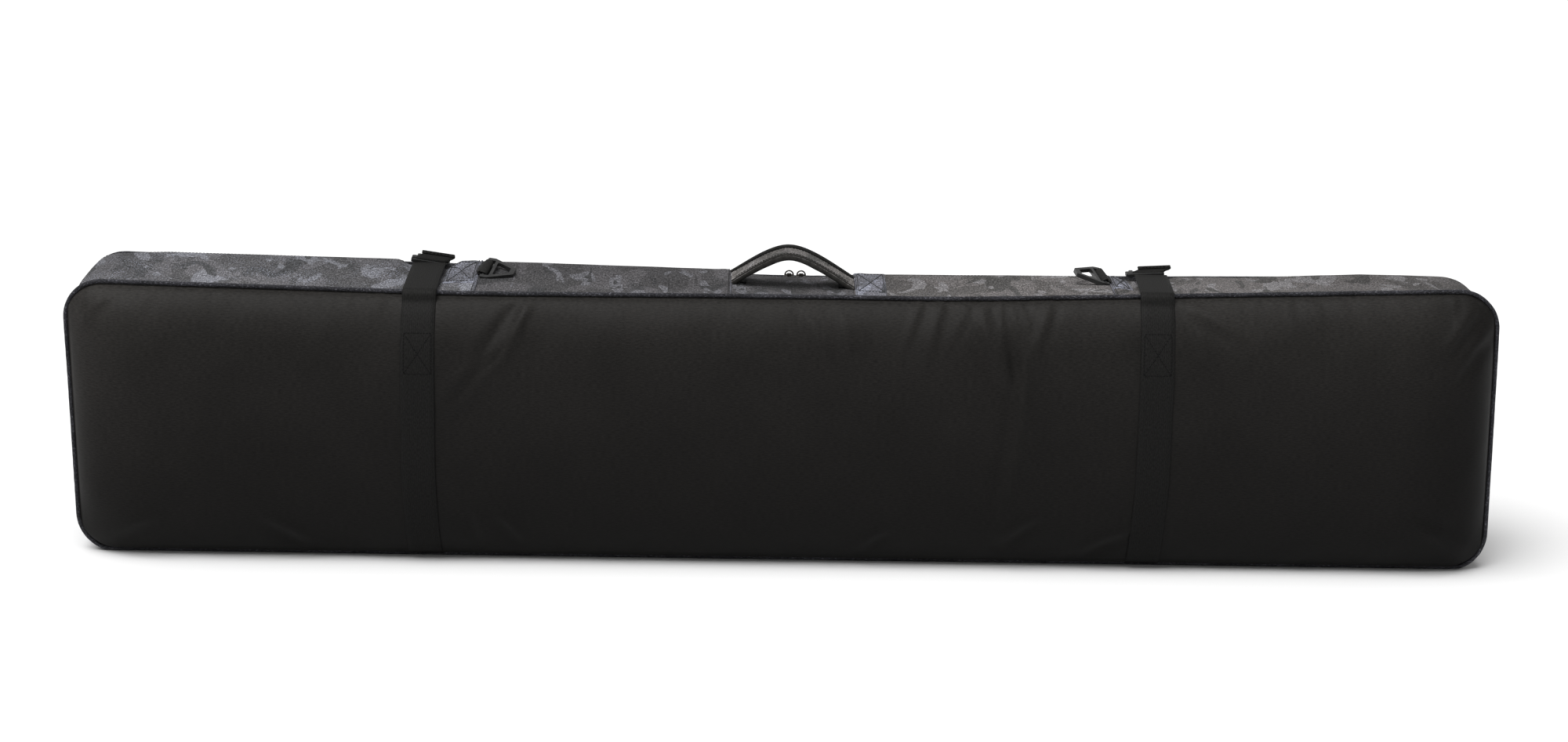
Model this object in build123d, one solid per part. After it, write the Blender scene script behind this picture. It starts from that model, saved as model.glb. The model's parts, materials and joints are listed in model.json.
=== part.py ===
"""Padded snowboard bag, standing on its long edge. Millimetres, +Z up.

The black back panel faces -Y, the opening front panel (the lid) faces +Y, and X runs along the
bag. The origin is on the ground under the middle of the bag. The gusset is the band that joins
the two panels. A zip runs along its top and down both ends, close to the lid, and ends above
the lower corners, so the lid folds down about a level line just above them.
"""

from build123d import *
import math
import os

# Whole bag
LENGTH = 1690.0          # over the piping, end to end
CORNER = 48.0            # radius of the outline's corners
BACK_TOP = ((-797.0, 333.5), (-380.0, 325.5), (15.0, 328.0), (200.0, 327.5), (797.0, 346.0))
LID_TOP = ((-797.0, 334.5), (15.0, 316.5), (797.0, 327.5))
BENDS = (-380.0, 15.0, 200.0)   # where the upper edges change slope

# Depth, from the back panel's seam to the lid's seam
PANEL_Y = 78.0           # both panels start here, at -Y and at +Y
PIPING = 6.0             # diameter of the piping round each panel
PIPING_FLAT = 1.76       # corner cut that makes the piping's section eight-sided
PROUD = 2.5              # how far the piping stands out past the fabric
PIPING_Y = PANEL_Y - PIPING

# Cloth build-up, each figure a depth under the outer surface
SHELL = 1.2
FOAM = 5.2
LINING = 6.2
BINDING = 8.7            # far side of the tape that covers the seam inside
WEBBING = 2.0            # strap thickness

# Fullness of the panels: (distance in from the edge, height above the seam's plane)
BACK_FULLNESS = ((0.0, 0.0), (8.0, 13.0), (20.0, 24.0), (50.0, 34.0), (100.0, 40.0), (140.0, 42.0))
LID_FULLNESS = ((0.0, 0.0), (12.0, 9.0), (30.0, 18.0), (60.0, 29.0), (100.0, 38.0), (140.0, 42.0))
LEAST_CORNER = 12.0      # radius of the outline's corners well inside a panel

# Zip, from the gusset towards the lid
TAPE_Y = 56.0
COIL_Y = 62.2
COIL = 3.0               # width of one row of teeth
COIL_GAP = 1.6           # between the two rows
TAPE_DEPTH = (2.7, 3.9)
COIL_DEPTH = (2.0, 4.8)
LID_COIL_Y = COIL_Y + COIL + COIL_GAP
LID_TAPE_Y = LID_COIL_Y + COIL
FOLD_Z = 55.0            # the lid folds down about this level
FOLD_GAP = 0.5
STOP = 4.0               # height of the metal stop at each end of the zip

# Seams across the gusset, in X
RING_SEAMS = (-364.0, 391.0)
HANDLE_SEAMS = (-62.0, 84.0)
BASE_Z = 30.0            # the base cloth ends below this level

# Compression straps
STRAP_X = (-426.0, 438.0)
STRAP = 40.0             # width
STRAP_FOOT = 3.0
STRAP_HEAD = 3.5         # the sewn part ends this far under the upper edge
SWING_Y = -82.0          # the free part folds back about this line
SWING_LIFT = 0.5         # that line's height above the piping
STRAP_RISES = (1.6, -3.4)  # degrees, each free part's slope towards the lid
STRAP_FREE = 120.0       # length of the free part, up to the buckle
LID_STRAP_TOP = 272.0

# Sliders and pulls
SLIDER_LONG = 13.6
SLIDER_OFFSET = 7.3      # half the spacing of the two sliders
PLATE_Y = (61.4, 68.0)

# Handle
HANDLE_Y = -6.0
HANDLE_WIDE = 42.0
HANDLE_THICK = 8.0
HANDLE_RISE = 45.0
PADDING = (6.0, 40.0)    # thickness and width of the handle's padding
CORE_WIDE = 22.0         # width of the webbing inside the handle, and of its sewn feet
GRIP_FOOT = 13.0         # the padded grip starts this far above the gusset
GRIP_WEB_FOOT = 8.0
ANCHOR_LONG = 18.0
ANCHOR_THICK = 1.8

# Triangular rings
RING_Y = 5.0
RING_LIFT = 11.0         # height of the ring's bar above the gusset
RING_TILTS = (-5.0, 13.0)  # rise of each ring towards its tip
RING_LEAN = 18.0         # rise of the bar towards the lid
RING_TURN = 12.0         # turn of the bar's far end towards the ring's tip
RING_BAR = 2.4
RING_SEAM_GAP = 9.0      # from the seam to the bar
LOOP_WIDE = 30.0
LOOP_CLEAR = 0.4         # between the ring's bar and its loop
LOOP_FOOT = 2.6          # the loop's two layers, pressed flat at the seam
LOOP_FOOT_LIFT = 1.8
LOOP_NECK = 5.0          # the loop's height just behind the bar

HALF = LENGTH / 2
TALL = 400.0             # taller and deeper than the bag, for cutting boxes


def along(points, x):
    """Value at x of a line through the given (x, value) points, level past its ends."""
    if x <= points[0][0]:
        return points[0][1]
    for (x0, v0), (x1, v1) in zip(points, points[1:]):
        if x <= x1:
            return v0 + (v1 - v0) * (x - x0) / (x1 - x0)
    return points[-1][1]


def top(x, y):
    """Height of the upper outline at x, y: it changes evenly from the back panel to the zip."""
    share = min(max((y + PANEL_Y) / (TAPE_Y + PANEL_Y), 0.0), 1.0)
    return (1 - share) * along(BACK_TOP, x) + share * along(LID_TOP, x)


def outline(y, inset):
    """The bag's section at depth y as a face, set in from the piping's outer line."""
    base = max(inset - PROUD, 0.0)
    radius = max(CORNER - inset, LEAST_CORNER)
    side = HALF - inset
    arc_x = side - radius
    left = top(-arc_x, y) - inset
    right = top(arc_x, y) - inset
    bend = radius * (1 - math.sqrt(0.5))

    def point(x, z):
        return Vector(x, y, z)

    upper = [point(arc_x, right)]
    upper += [point(x, top(x, y) - inset) for x in reversed(BENDS)]
    upper += [point(-arc_x, left)]
    edges = [
        Edge.make_line(point(-arc_x, base), point(arc_x, base)),
        Edge.make_three_point_arc(
            point(arc_x, base), point(side - bend, base + bend), point(side, base + radius)
        ),
        Edge.make_line(point(side, base + radius), point(side, right - radius)),
        Edge.make_three_point_arc(
            point(side, right - radius), point(side - bend, right - bend), point(arc_x, right)
        ),
    ]
    edges += [Edge.make_line(start, end) for start, end in zip(upper, upper[1:])]
    edges += [
        Edge.make_three_point_arc(
            point(-arc_x, left), point(bend - side, left - bend), point(-side, left - radius)
        ),
        Edge.make_line(point(-side, left - radius), point(-side, base + radius)),
        Edge.make_three_point_arc(
            point(-side, base + radius), point(bend - side, base + bend), point(-arc_x, base)
        ),
    ]
    return Face(Wire(edges))


def lofted(sections):
    """Solid through outlines given as (depth, inset)."""
    return loft([outline(y, inset) for y, inset in sections], ruled=True)


def band(y0, y1, outer, inner):
    """Ring of cloth round the bag, between two depths and two insets."""
    return lofted(((y0, outer), (y1, outer))) - lofted(((y0, inner), (y1, inner)))


def piping(y0):
    """Eight-sided piping cord round the bag, from depth y0 on."""
    cut = PIPING_FLAT
    levels = (y0, y0 + cut, y0 + PIPING - cut, y0 + PIPING)
    outer = zip(levels, (cut, 0.0, 0.0, cut))
    inner = zip(levels, (PIPING - cut, PIPING, PIPING, PIPING - cut))
    return lofted(tuple(outer)) - lofted(tuple(inner))


def panel(side, fullness, depth):
    """Full, rounded panel on side -1 or +1, taken this far under its outer surface."""
    sections = [(side * PANEL_Y, PROUD + depth)]
    for distance, height in fullness[1:]:
        sections.append((side * (PANEL_Y + height - depth), PROUD + distance + depth))
    return lofted(sections)


def layer(side, fullness, upper, lower):
    """Cloth between two depths under a panel's outer surface."""
    return panel(side, fullness, upper) - panel(side, fullness, lower)


def box(x, y, z):
    """Box between (low, high) pairs."""
    size = [pair[1] - pair[0] for pair in (x, y, z)]
    middle = [(pair[1] + pair[0]) / 2 for pair in (x, y, z)]
    return Pos(*middle) * Box(*size)


def above(z):
    """Everything above a level."""
    return box((-HALF, HALF), (-TALL, TALL), (z, TALL))


def below(z):
    """Everything below a level."""
    return box((-HALF, HALF), (-TALL, TALL), (-1.0, z))


def strip(x, low, high):
    """A strap's width, between two heights."""
    return box((x - STRAP / 2, x + STRAP / 2), (-TALL, TALL), (low, high))


parts = {}


# Back panel -----------------------------------------------------------------------------------
def back_panel():
    parts["back_panel_shell"] = layer(-1, BACK_FULLNESS, 0.0, SHELL)
    parts["back_panel_foam"] = layer(-1, BACK_FULLNESS, SHELL, FOAM)
    parts["back_panel_lining"] = layer(-1, BACK_FULLNESS, FOAM, LINING)
    parts["back_piping"] = piping(-PANEL_Y)
    parts["back_seam_binding"] = band(-PANEL_Y, -PIPING_Y, LINING, BINDING)


# Gusset ---------------------------------------------------------------------------------------
def gusset_layer(upper, lower):
    """Cloth of the gusset: full depth below the fold, and only up to the zip above it."""
    whole = band(-PIPING_Y, TAPE_Y, PROUD + upper, PROUD + lower)
    rim = band(TAPE_Y, PIPING_Y, PROUD + upper, PROUD + lower) & below(FOLD_Z)
    return whole + rim


def gusset():
    shell = gusset_layer(0.0, SHELL)
    arc_x = HALF - CORNER
    cuts = (-HALF, RING_SEAMS[0], *HANDLE_SEAMS, RING_SEAMS[1], HALF)
    names = ("left_end", "top_left", "top_middle", "top_right", "right_end")
    base = box((-arc_x, arc_x), (-TALL, TALL), (-1.0, BASE_Z))
    for name, low, high in zip(names, cuts, cuts[1:]):
        piece = shell & box((low, high), (-TALL, TALL), (-1.0, TALL))
        parts["gusset_" + name] = piece - base
    parts["gusset_base"] = shell & base
    parts["gusset_foam"] = gusset_layer(SHELL, FOAM)
    parts["gusset_lining"] = gusset_layer(FOAM, LINING)


# Lower strip of the front panel, which stays with the bag ---------------------------------------
def skirt():
    lower = below(FOLD_Z)
    parts["skirt_shell"] = layer(1, LID_FULLNESS, 0.0, SHELL) & lower
    parts["skirt_foam"] = layer(1, LID_FULLNESS, SHELL, FOAM) & lower
    parts["skirt_lining"] = layer(1, LID_FULLNESS, FOAM, LINING) & lower
    parts["skirt_piping"] = piping(PIPING_Y) & lower
    parts["skirt_seam_binding"] = band(PIPING_Y, PANEL_Y, LINING, BINDING) & lower


# Zip on the bag's side ------------------------------------------------------------------------
def body_zip():
    coil_end = COIL_Y + COIL
    parts["zip_tape_body"] = band(TAPE_Y, COIL_Y, *TAPE_DEPTH) & above(FOLD_Z)
    coil = band(COIL_Y, coil_end, *COIL_DEPTH)
    parts["zip_coil_body"] = coil & above(FOLD_Z + STOP)
    parts["zip_end_stops"] = coil & above(FOLD_Z) & below(FOLD_Z + STOP)


# Lid ------------------------------------------------------------------------------------------
def lid():
    upper = above(FOLD_Z + FOLD_GAP)
    parts["lid_shell"] = layer(1, LID_FULLNESS, 0.0, SHELL) & upper
    parts["lid_foam"] = layer(1, LID_FULLNESS, SHELL, FOAM) & upper
    parts["lid_lining"] = layer(1, LID_FULLNESS, FOAM, LINING) & upper
    parts["lid_piping"] = piping(PIPING_Y) & upper
    parts["lid_seam_binding"] = band(PIPING_Y, PANEL_Y, LINING, BINDING) & upper
    parts["zip_coil_lid"] = band(LID_COIL_Y, LID_TAPE_Y, *COIL_DEPTH) & upper
    parts["zip_tape_lid"] = band(LID_TAPE_Y, PIPING_Y, *TAPE_DEPTH) & upper


# Sewn straps ----------------------------------------------------------------------------------
def sewn_straps():
    back = layer(-1, BACK_FULLNESS, -WEBBING, 0.0)
    front = layer(1, LID_FULLNESS, -WEBBING, 0.0)
    for side, x in zip(("left", "right"), STRAP_X):
        head = min(top(x - STRAP / 2, -PANEL_Y), top(x + STRAP / 2, -PANEL_Y)) - STRAP_HEAD
        parts["strap_back_" + side] = back & strip(x, STRAP_FOOT, head)
        parts["strap_foot_" + side] = front & strip(x, STRAP_FOOT, FOLD_Z)
        parts["lid_strap_" + side] = front & strip(x, FOLD_Z + FOLD_GAP, LID_STRAP_TOP)


# Free ends of the straps, each with its buckle half -----------------------------------------------
PLUG_WIDE = 46.0
PLUG_LONG = 20.0
PLUG_LOW, PLUG_HIGH = -0.8, 3.2
PLUG_GAP = 1.0           # between the free part's end and the plug
PLUG_SLOT = (5.0, 10.0)  # from the plug's near edge
PRONG = (5.0, 12.0, 2.4)  # width, length and thickness of a prong
PRONG_X = (-15.0, 0.0, 15.0)
PLUG_ROLLS = (8.0, -3.0)  # how far each plug is rolled about its strap
TAIL_SHIFTS = (8.0, 12.0)  # how far each tail is pulled over to the right
TAIL_GAP = 0.5           # height of the tail's root above the plug
TAIL_LONG = 12.0
TAIL_RISE = 22.0
HEM_LONG = 6.0
HEM_THICK = 3.6


def swing_line(x):
    """Height of the line that a free strap folds back about."""
    edges = [top(x + side * STRAP / 2, -PANEL_Y) for side in (-1, 1)]
    return max(edges) + SWING_LIFT


def free_strap(side, x, rise, roll, shift):
    place = Pos(x, SWING_Y, swing_line(x)) * Rot(rise, 0, 0)
    half = STRAP / 2
    start = STRAP_FREE + PLUG_GAP
    middle = start + sum(PLUG_SLOT) / 2 - WEBBING / 2
    web = box((-half, half), (0.0, STRAP_FREE), (0.0, WEBBING))
    tail_z = PLUG_HIGH + TAIL_GAP
    tail = box((-half, half), (0.0, TAIL_LONG), (0.0, WEBBING))
    tail += box((-half, half), (TAIL_LONG - HEM_LONG, TAIL_LONG), (0.0, HEM_THICK))
    tail = Pos(shift, middle, tail_z) * Rot(TAIL_RISE, 0, 0) * tail
    tail += box((-half, half), (middle, middle + WEBBING), (PLUG_LOW, tail_z + WEBBING))

    frame = box((-PLUG_WIDE / 2, PLUG_WIDE / 2), (start, start + PLUG_LONG), (PLUG_LOW, PLUG_HIGH))
    frame = fillet(frame.edges().filter_by(Axis.Z), 3.0)
    frame -= box(
        (-half - 1.0, half + 1.0),
        (start + PLUG_SLOT[0], start + PLUG_SLOT[1]),
        (PLUG_LOW - 1.0, PLUG_HIGH + 1.0),
    )
    wide, long, thick = PRONG
    for prong_x in PRONG_X:
        prong = box((-wide / 2, wide / 2), (0.0, long), (-thick / 2, thick / 2))
        prong = chamfer(prong.faces().sort_by(Axis.Y)[-1].edges().filter_by(Axis.Z), 1.5)
        frame += Pos(prong_x, start + PLUG_LONG, (PLUG_LOW + PLUG_HIGH) / 2) * prong
    parts["strap_free_" + side] = place * web
    rolled = place * Rot(0, roll, 0)
    parts["strap_tail_" + side] = rolled * tail
    parts["buckle_plug_" + side] = rolled * frame


SOCKET_WIDE = 44.0
SOCKET_Y = (111.2, 121.7)
SOCKET_Z = (258.0, 298.0)
MOUTH_WIDE = 38.0
MOUTH_Y = (113.7, 119.2)
MOUTH_DEEP = 20.0
RELEASE_X = 22.0         # side windows for the catch
RELEASE_Z = (274.0, 288.0)


def socket(side, x):
    body = box((x - SOCKET_WIDE / 2, x + SOCKET_WIDE / 2), SOCKET_Y, SOCKET_Z)
    body = fillet(body.edges().filter_by(Axis.Y), 4.0)
    mouth = box(
        (x - MOUTH_WIDE / 2, x + MOUTH_WIDE / 2),
        MOUTH_Y,
        (SOCKET_Z[1] - MOUTH_DEEP, SOCKET_Z[1] + 1.0),
    )
    windows = box((x - RELEASE_X - 1, x + RELEASE_X + 1), MOUTH_Y, RELEASE_Z)
    bar_slot = box((x - 21.0, x + 21.0), (SOCKET_Y[0] - 1, SOCKET_Y[1] + 1), (262.0, 266.0))
    parts["buckle_socket_" + side] = body - mouth - windows - bar_slot


# Zip sliders and pulls ------------------------------------------------------------------------
PLATE = 1.2
PLATE_CLEAR = 0.3
POST_Y = (65.5, 66.5)
POST_LONG = 4.0
PULL_Y = 64.6
BRIDGE = (5.0, 4.4)      # size along the chain and across it
BRIDGE_TOP = 3.3
PULL_AXIS = 1.6          # height of the pull's pin above the slider's top plate
PULL_RADIUS = 5.0
PULL_WIRE = 0.9
PIN_RADIUS = 1.0
PIN_CLEAR = 0.1


def slider(side, sign):
    rise = along(LID_TOP, sign * HALF) - along(LID_TOP, BENDS[1])
    run = sign * (HALF - CORNER) - BENDS[1]
    slope = math.degrees(math.atan2(rise, run if sign > 0 else -run))
    x = BENDS[1] + sign * SLIDER_OFFSET
    place = Pos(x, 0, along(LID_TOP, x)) * Rot(0, -sign * slope, 0)
    half = SLIDER_LONG / 2
    upper = -COIL_DEPTH[0] + PLATE_CLEAR
    lower = -COIL_DEPTH[1] - PLATE_CLEAR
    bridge_x, bridge_y = BRIDGE
    axis_z = upper + PLATE + PULL_AXIS
    plates = box((-half, half), PLATE_Y, (upper, upper + PLATE))
    plates += box((-half, half), PLATE_Y, (lower - PLATE, lower))
    plates = fillet(plates.edges().filter_by(Axis.Z), 2.0)
    body = plates + box((-POST_LONG / 2, POST_LONG / 2), POST_Y, (lower, upper))
    body += box(
        (-bridge_x / 2, bridge_x / 2),
        (PULL_Y - bridge_y / 2, PULL_Y + bridge_y / 2),
        (upper + PLATE, upper + PLATE + BRIDGE_TOP),
    )
    axle = Pos(0, PULL_Y, axis_z) * Rot(0, 90, 0)
    body -= axle * Cylinder(PIN_RADIUS + PIN_CLEAR, bridge_x + 1.0)
    parts["slider_" + side] = place * body

    arc = CenterArc((0, 0, 0), PULL_RADIUS, 0, 180)
    bow = sweep(Plane(arc @ 0, z_dir=arc % 0) * Circle(PULL_WIRE), path=arc)
    bow = Pos(0, PULL_Y, axis_z) * Rot(90, 0, 0) * bow
    pin = axle * Cylinder(PIN_RADIUS, 2 * PULL_RADIUS + 2 * PULL_WIRE)
    parts["pull_" + side] = place * (bow + pin)


# Carry handle ---------------------------------------------------------------------------------
def handle():
    middle = sum(HANDLE_SEAMS) / 2
    reach = (HANDLE_SEAMS[1] - HANDLE_SEAMS[0]) / 2
    radius = (reach**2 + HANDLE_RISE**2) / (2 * HANDLE_RISE)
    foot = top(middle, HANDLE_Y) - PROUD
    centre_z = foot + HANDLE_RISE - radius

    def arch(thick, wide, low):
        place = Pos(middle, HANDLE_Y, centre_z) * Rot(90, 0, 0)
        outer = place * Cylinder(radius + thick / 2, wide)
        inner = place * Cylinder(radius - thick / 2, wide + 2)
        keep = box((-HALF, HALF), (-TALL, TALL), (foot + low, TALL + 100))
        return (outer - inner) & keep

    padding = arch(*PADDING, GRIP_FOOT)
    web = arch(WEBBING, CORE_WIDE, GRIP_WEB_FOOT)
    parts["handle_cover"] = arch(HANDLE_THICK, HANDLE_WIDE, GRIP_FOOT) - padding
    parts["handle_padding"] = padding - web
    parts["handle_webbing"] = web
    for side, seam, inward in zip(("left", "right"), HANDLE_SEAMS, (1, -1)):
        ends = sorted((seam, seam + inward * ANCHOR_LONG))
        patch = box(ends, (HANDLE_Y - CORE_WIDE / 2, HANDLE_Y + CORE_WIDE / 2), (0, TALL))
        outer = PROUD - ANCHOR_THICK
        cloth = lofted(((-PIPING_Y, outer), (TAPE_Y, outer)))
        cloth -= lofted(((-PIPING_Y - 1, PROUD), (TAPE_Y + 1, PROUD)))
        parts["handle_anchor_" + side] = (cloth & patch) & above(BASE_Z + CORNER)


# Reinforcement patches, ring loops and triangular rings -------------------------------------------
PATCH_THICK = 1.0
PATCH_Y = (-34.0, 44.0)
RING_PLATE = 5.0


def ring_shape():
    """Flat triangular ring, its bar along Y at the origin and its tip towards +X."""
    sheet = Polygon((-3, -22), (6, -22), (35, -7), (35, 7), (6, 22), (-3, 22), align=None)
    sheet = fillet(sheet.vertices(), 2.0)
    hole = Polygon((11, -14.5), (29, -5.2), (29, 5.2), (11, 14.5), align=None)
    hole = fillet(hole.vertices(), 1.5)
    solid = Pos(0, 0, -RING_PLATE / 2) * extrude(sheet - hole, RING_PLATE)
    solid -= box((-4, 7.4), (-17, 17), (-RING_PLATE, RING_PLATE))
    return solid + Rot(90, 0, 0) * Cylinder(RING_BAR, 36.0)


def gusset_place(x):
    """Level with the gusset's own slope at x, above the line that the rings lie on."""
    fall = math.degrees(math.atan((top(x, RING_Y + 1) - top(x, RING_Y - 1)) / 2))
    climb = math.degrees(math.atan((top(x + 1, RING_Y) - top(x - 1, RING_Y)) / 2))
    return Pos(x, RING_Y, top(x, RING_Y) - PROUD) * Rot(fall, -climb, 0)


def ring_place(x, sign):
    """Where the bar lies of a ring whose tip points to +X or -X, as sign says."""
    flip = Rot(0, 0, 0 if sign > 0 else 180)
    turned = Rot(0, 0, -sign * RING_TURN) * Rot(RING_LEAN, 0, 0)
    return gusset_place(x) * Pos(0, 0, RING_LIFT) * turned * flip


def ring_loop(x, sign):
    """Webbing from the seam, flat on the gusset, up to and round the ring's bar."""
    inner = RING_BAR + LOOP_CLEAR
    bar = ring_place(x, sign)
    foot = gusset_place(x) * Pos(-sign * RING_SEAM_GAP, 0, LOOP_FOOT_LIFT)
    start = foot * (Plane.YZ * Rectangle(LOOP_WIDE, LOOP_FOOT))
    end = bar * Pos(-RING_BAR, 0, 0) * (Plane.YZ * Rectangle(LOOP_WIDE, LOOP_NECK))
    loop = bar * Rot(90, 0, 0) * Cylinder(inner + WEBBING, LOOP_WIDE)
    loop += loft([start, end], ruled=True)
    return loop - bar * Rot(90, 0, 0) * Cylinder(inner, LOOP_WIDE + RING_BAR)


def rings():
    cloth = band(-PIPING_Y, TAPE_Y, PROUD - PATCH_THICK, PROUD)
    for side, seam, strap_x, sign, tilt in zip(
        ("left", "right"), RING_SEAMS, STRAP_X, (1, -1), RING_TILTS
    ):
        x = seam + sign * RING_SEAM_GAP
        parts["ring_loop_" + side] = ring_loop(x, sign)
        parts["ring_" + side] = ring_place(x, sign) * Rot(0, -tilt, 0) * ring_shape()
        near = strap_x + sign * (STRAP / 2 + 2.0)
        ends = sorted((near, seam - sign * 1.0))
        parts["patch_" + side] = cloth & box(ends, PATCH_Y, (TALL / 2, TALL))


back_panel()
gusset()
skirt()
body_zip()
lid()
sewn_straps()
for name, strap_x, rise, roll, shift, outward in zip(
    ("left", "right"), STRAP_X, STRAP_RISES, PLUG_ROLLS, TAIL_SHIFTS, (-1, 1)
):
    free_strap(name, strap_x, rise, roll, shift)
    socket(name, strap_x)
    slider(name, outward)
handle()
rings()

os.makedirs("parts", exist_ok=True)
for name, shape in parts.items():
    export_step(shape, "parts/" + name + ".step")
corners = [shape.bounding_box() for shape in parts.values()]
print("nodes", len(parts))
print("low", [round(min(getattr(b.min, a) for b in corners), 2) for a in "XYZ"])
print("high", [round(max(getattr(b.max, a) for b in corners), 2) for a in "XYZ"])
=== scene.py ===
"""Looks of the padded snowboard bag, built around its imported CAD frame. Metres, +Z up.

The black back panel faces -Y and the opening front panel faces +Y. Cloth is laid over the same
outline as the CAD solids, with a map "cloth" that holds each point's place on the flat cloth.
"""

import json
import math

import bmesh
import bpy
import numpy as np
from mathutils import Matrix, Vector


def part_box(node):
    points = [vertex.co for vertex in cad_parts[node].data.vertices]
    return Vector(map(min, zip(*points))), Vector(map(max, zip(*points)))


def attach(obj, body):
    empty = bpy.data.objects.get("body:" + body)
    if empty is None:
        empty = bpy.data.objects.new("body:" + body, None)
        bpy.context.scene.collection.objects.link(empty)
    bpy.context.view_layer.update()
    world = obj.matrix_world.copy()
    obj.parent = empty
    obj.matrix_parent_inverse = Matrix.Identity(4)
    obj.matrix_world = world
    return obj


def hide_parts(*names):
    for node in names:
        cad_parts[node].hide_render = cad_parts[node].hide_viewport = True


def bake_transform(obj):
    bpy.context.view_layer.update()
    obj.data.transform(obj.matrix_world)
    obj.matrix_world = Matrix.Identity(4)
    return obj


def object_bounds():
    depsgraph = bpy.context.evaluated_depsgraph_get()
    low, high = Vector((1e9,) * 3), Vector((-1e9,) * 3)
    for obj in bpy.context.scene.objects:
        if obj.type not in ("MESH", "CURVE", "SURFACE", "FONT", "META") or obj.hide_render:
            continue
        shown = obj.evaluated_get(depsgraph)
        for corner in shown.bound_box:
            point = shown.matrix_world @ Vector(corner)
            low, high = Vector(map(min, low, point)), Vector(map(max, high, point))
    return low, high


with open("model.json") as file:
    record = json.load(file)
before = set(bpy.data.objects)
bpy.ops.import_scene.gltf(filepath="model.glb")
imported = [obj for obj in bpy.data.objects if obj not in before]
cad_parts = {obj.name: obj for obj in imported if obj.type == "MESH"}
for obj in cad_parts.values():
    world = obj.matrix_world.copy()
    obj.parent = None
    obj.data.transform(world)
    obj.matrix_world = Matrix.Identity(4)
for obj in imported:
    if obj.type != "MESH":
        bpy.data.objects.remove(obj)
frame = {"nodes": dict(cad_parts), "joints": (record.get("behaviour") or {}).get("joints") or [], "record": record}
cad_low, cad_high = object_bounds()

# Driving sizes: the CAD model's, with the upper edges' lines run on past the corners ----------
HALF = cad_high.x
CORNER = 0.048
BACK_TOP = ((-0.897, 0.3354), (-0.380, 0.3255), (0.015, 0.3280), (0.200, 0.3275), (0.897, 0.3491))
LID_TOP = ((-0.897, 0.3367), (0.015, 0.3165), (0.897, 0.3289))
BEND_REACH = 0.06        # the upper edges' bends are rounded over this far each way
PANEL_Y = 0.078
PIPING = 0.006
PIPING_Y = PANEL_Y - PIPING
PROUD = 0.0025           # the piping stands this far out of the cloth
TAPE_Y = 0.056           # where the gusset ends and the zip's tape begins
COIL_Y = (0.0622, 0.0652)
LID_COIL_Y = (0.0668, 0.0698)
TAPE_DEPTH = 0.0027      # this and the next three are depths below the gusset's surface
COIL_DEPTH = 0.0034
LINING_DEPTH = 0.0056
BINDING_DEPTH = 0.0074
FULLNESS = 0.042         # how far a panel stands out from its seams
FULL_AT = 0.140          # distance in from the edge where a panel is at its fullest
TUCK = 0.003             # a panel starts to swell this far in from its seam
FLOOR_GAP = 0.0008       # the base cloth lies this far above the floor, between its pipings
CLOTH = 0.0012           # thickness of the outer cloth, and of the lining
LINING = 0.0006
FOLD = frame["record"]["behaviour"]["joints"][0]["pos_m"]

RING_SEAMS = (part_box("gusset_top_left")[0].x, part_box("gusset_top_right")[1].x)
HANDLE_SEAMS = (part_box("gusset_top_middle")[0].x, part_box("gusset_top_middle")[1].x)
SIDES = ("left", "right")
STRAP = 0.040
STRAP_X = [sum(corner.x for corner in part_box("strap_back_" + side)) / 2 for side in SIDES]
WEB = 0.0019             # thickness of webbing

THREAD = 0.0009          # width of a thread
LID_DROP = 0.0025        # the front panel's edge lies this much lower than its CAD solid

# How far the gusset's cloth crowns beside the zip, at places along the bag
CROWN = ((-0.80, 0.003), (-0.74, 0.007), (-0.50, 0.0085), (-0.30, 0.0105), (-0.063, 0.0100),
         (-0.052, 0.0055), (0.010, 0.0032), (0.074, 0.0050), (0.085, 0.0075), (0.30, 0.0060),
         (0.55, 0.0035), (0.70, 0.0080), (0.80, 0.005))
CROWN_Y = 0.051          # where across the gusset it is highest
PRESSED = (0.021, 0.040) # under a strap it is pressed flat, out to the first of these from its middle
LEAN = (0.0085, 0.0055)  # how far the foot of the left and of the right end leans over
LEAN_TOP = 0.0018        # and how far the ends' tops lie to the left
TALL = 0.33              # about the bag's height


# Outline --------------------------------------------------------------------------------------
def rounded_line(points, x):
    """Value at x of a line through (x, value) points, with its bends rounded."""
    xs, values = zip(*points)
    shifts = np.linspace(-BEND_REACH, BEND_REACH, 9)
    return np.mean([np.interp(np.asarray(x) + shift, xs, values) for shift in shifts], axis=0)


def top(x, y):
    """Height of the upper outline over the piping."""
    share = np.clip((y + PANEL_Y) / (TAPE_Y + PANEL_Y), 0.0, 1.0)
    drop = LID_DROP * np.clip((y - LID_COIL_Y[0]) / (PIPING_Y - LID_COIL_Y[0]), 0.0, 1.0)
    return (1 - share) * rounded_line(BACK_TOP, x) + share * rounded_line(LID_TOP, x) - drop


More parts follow.
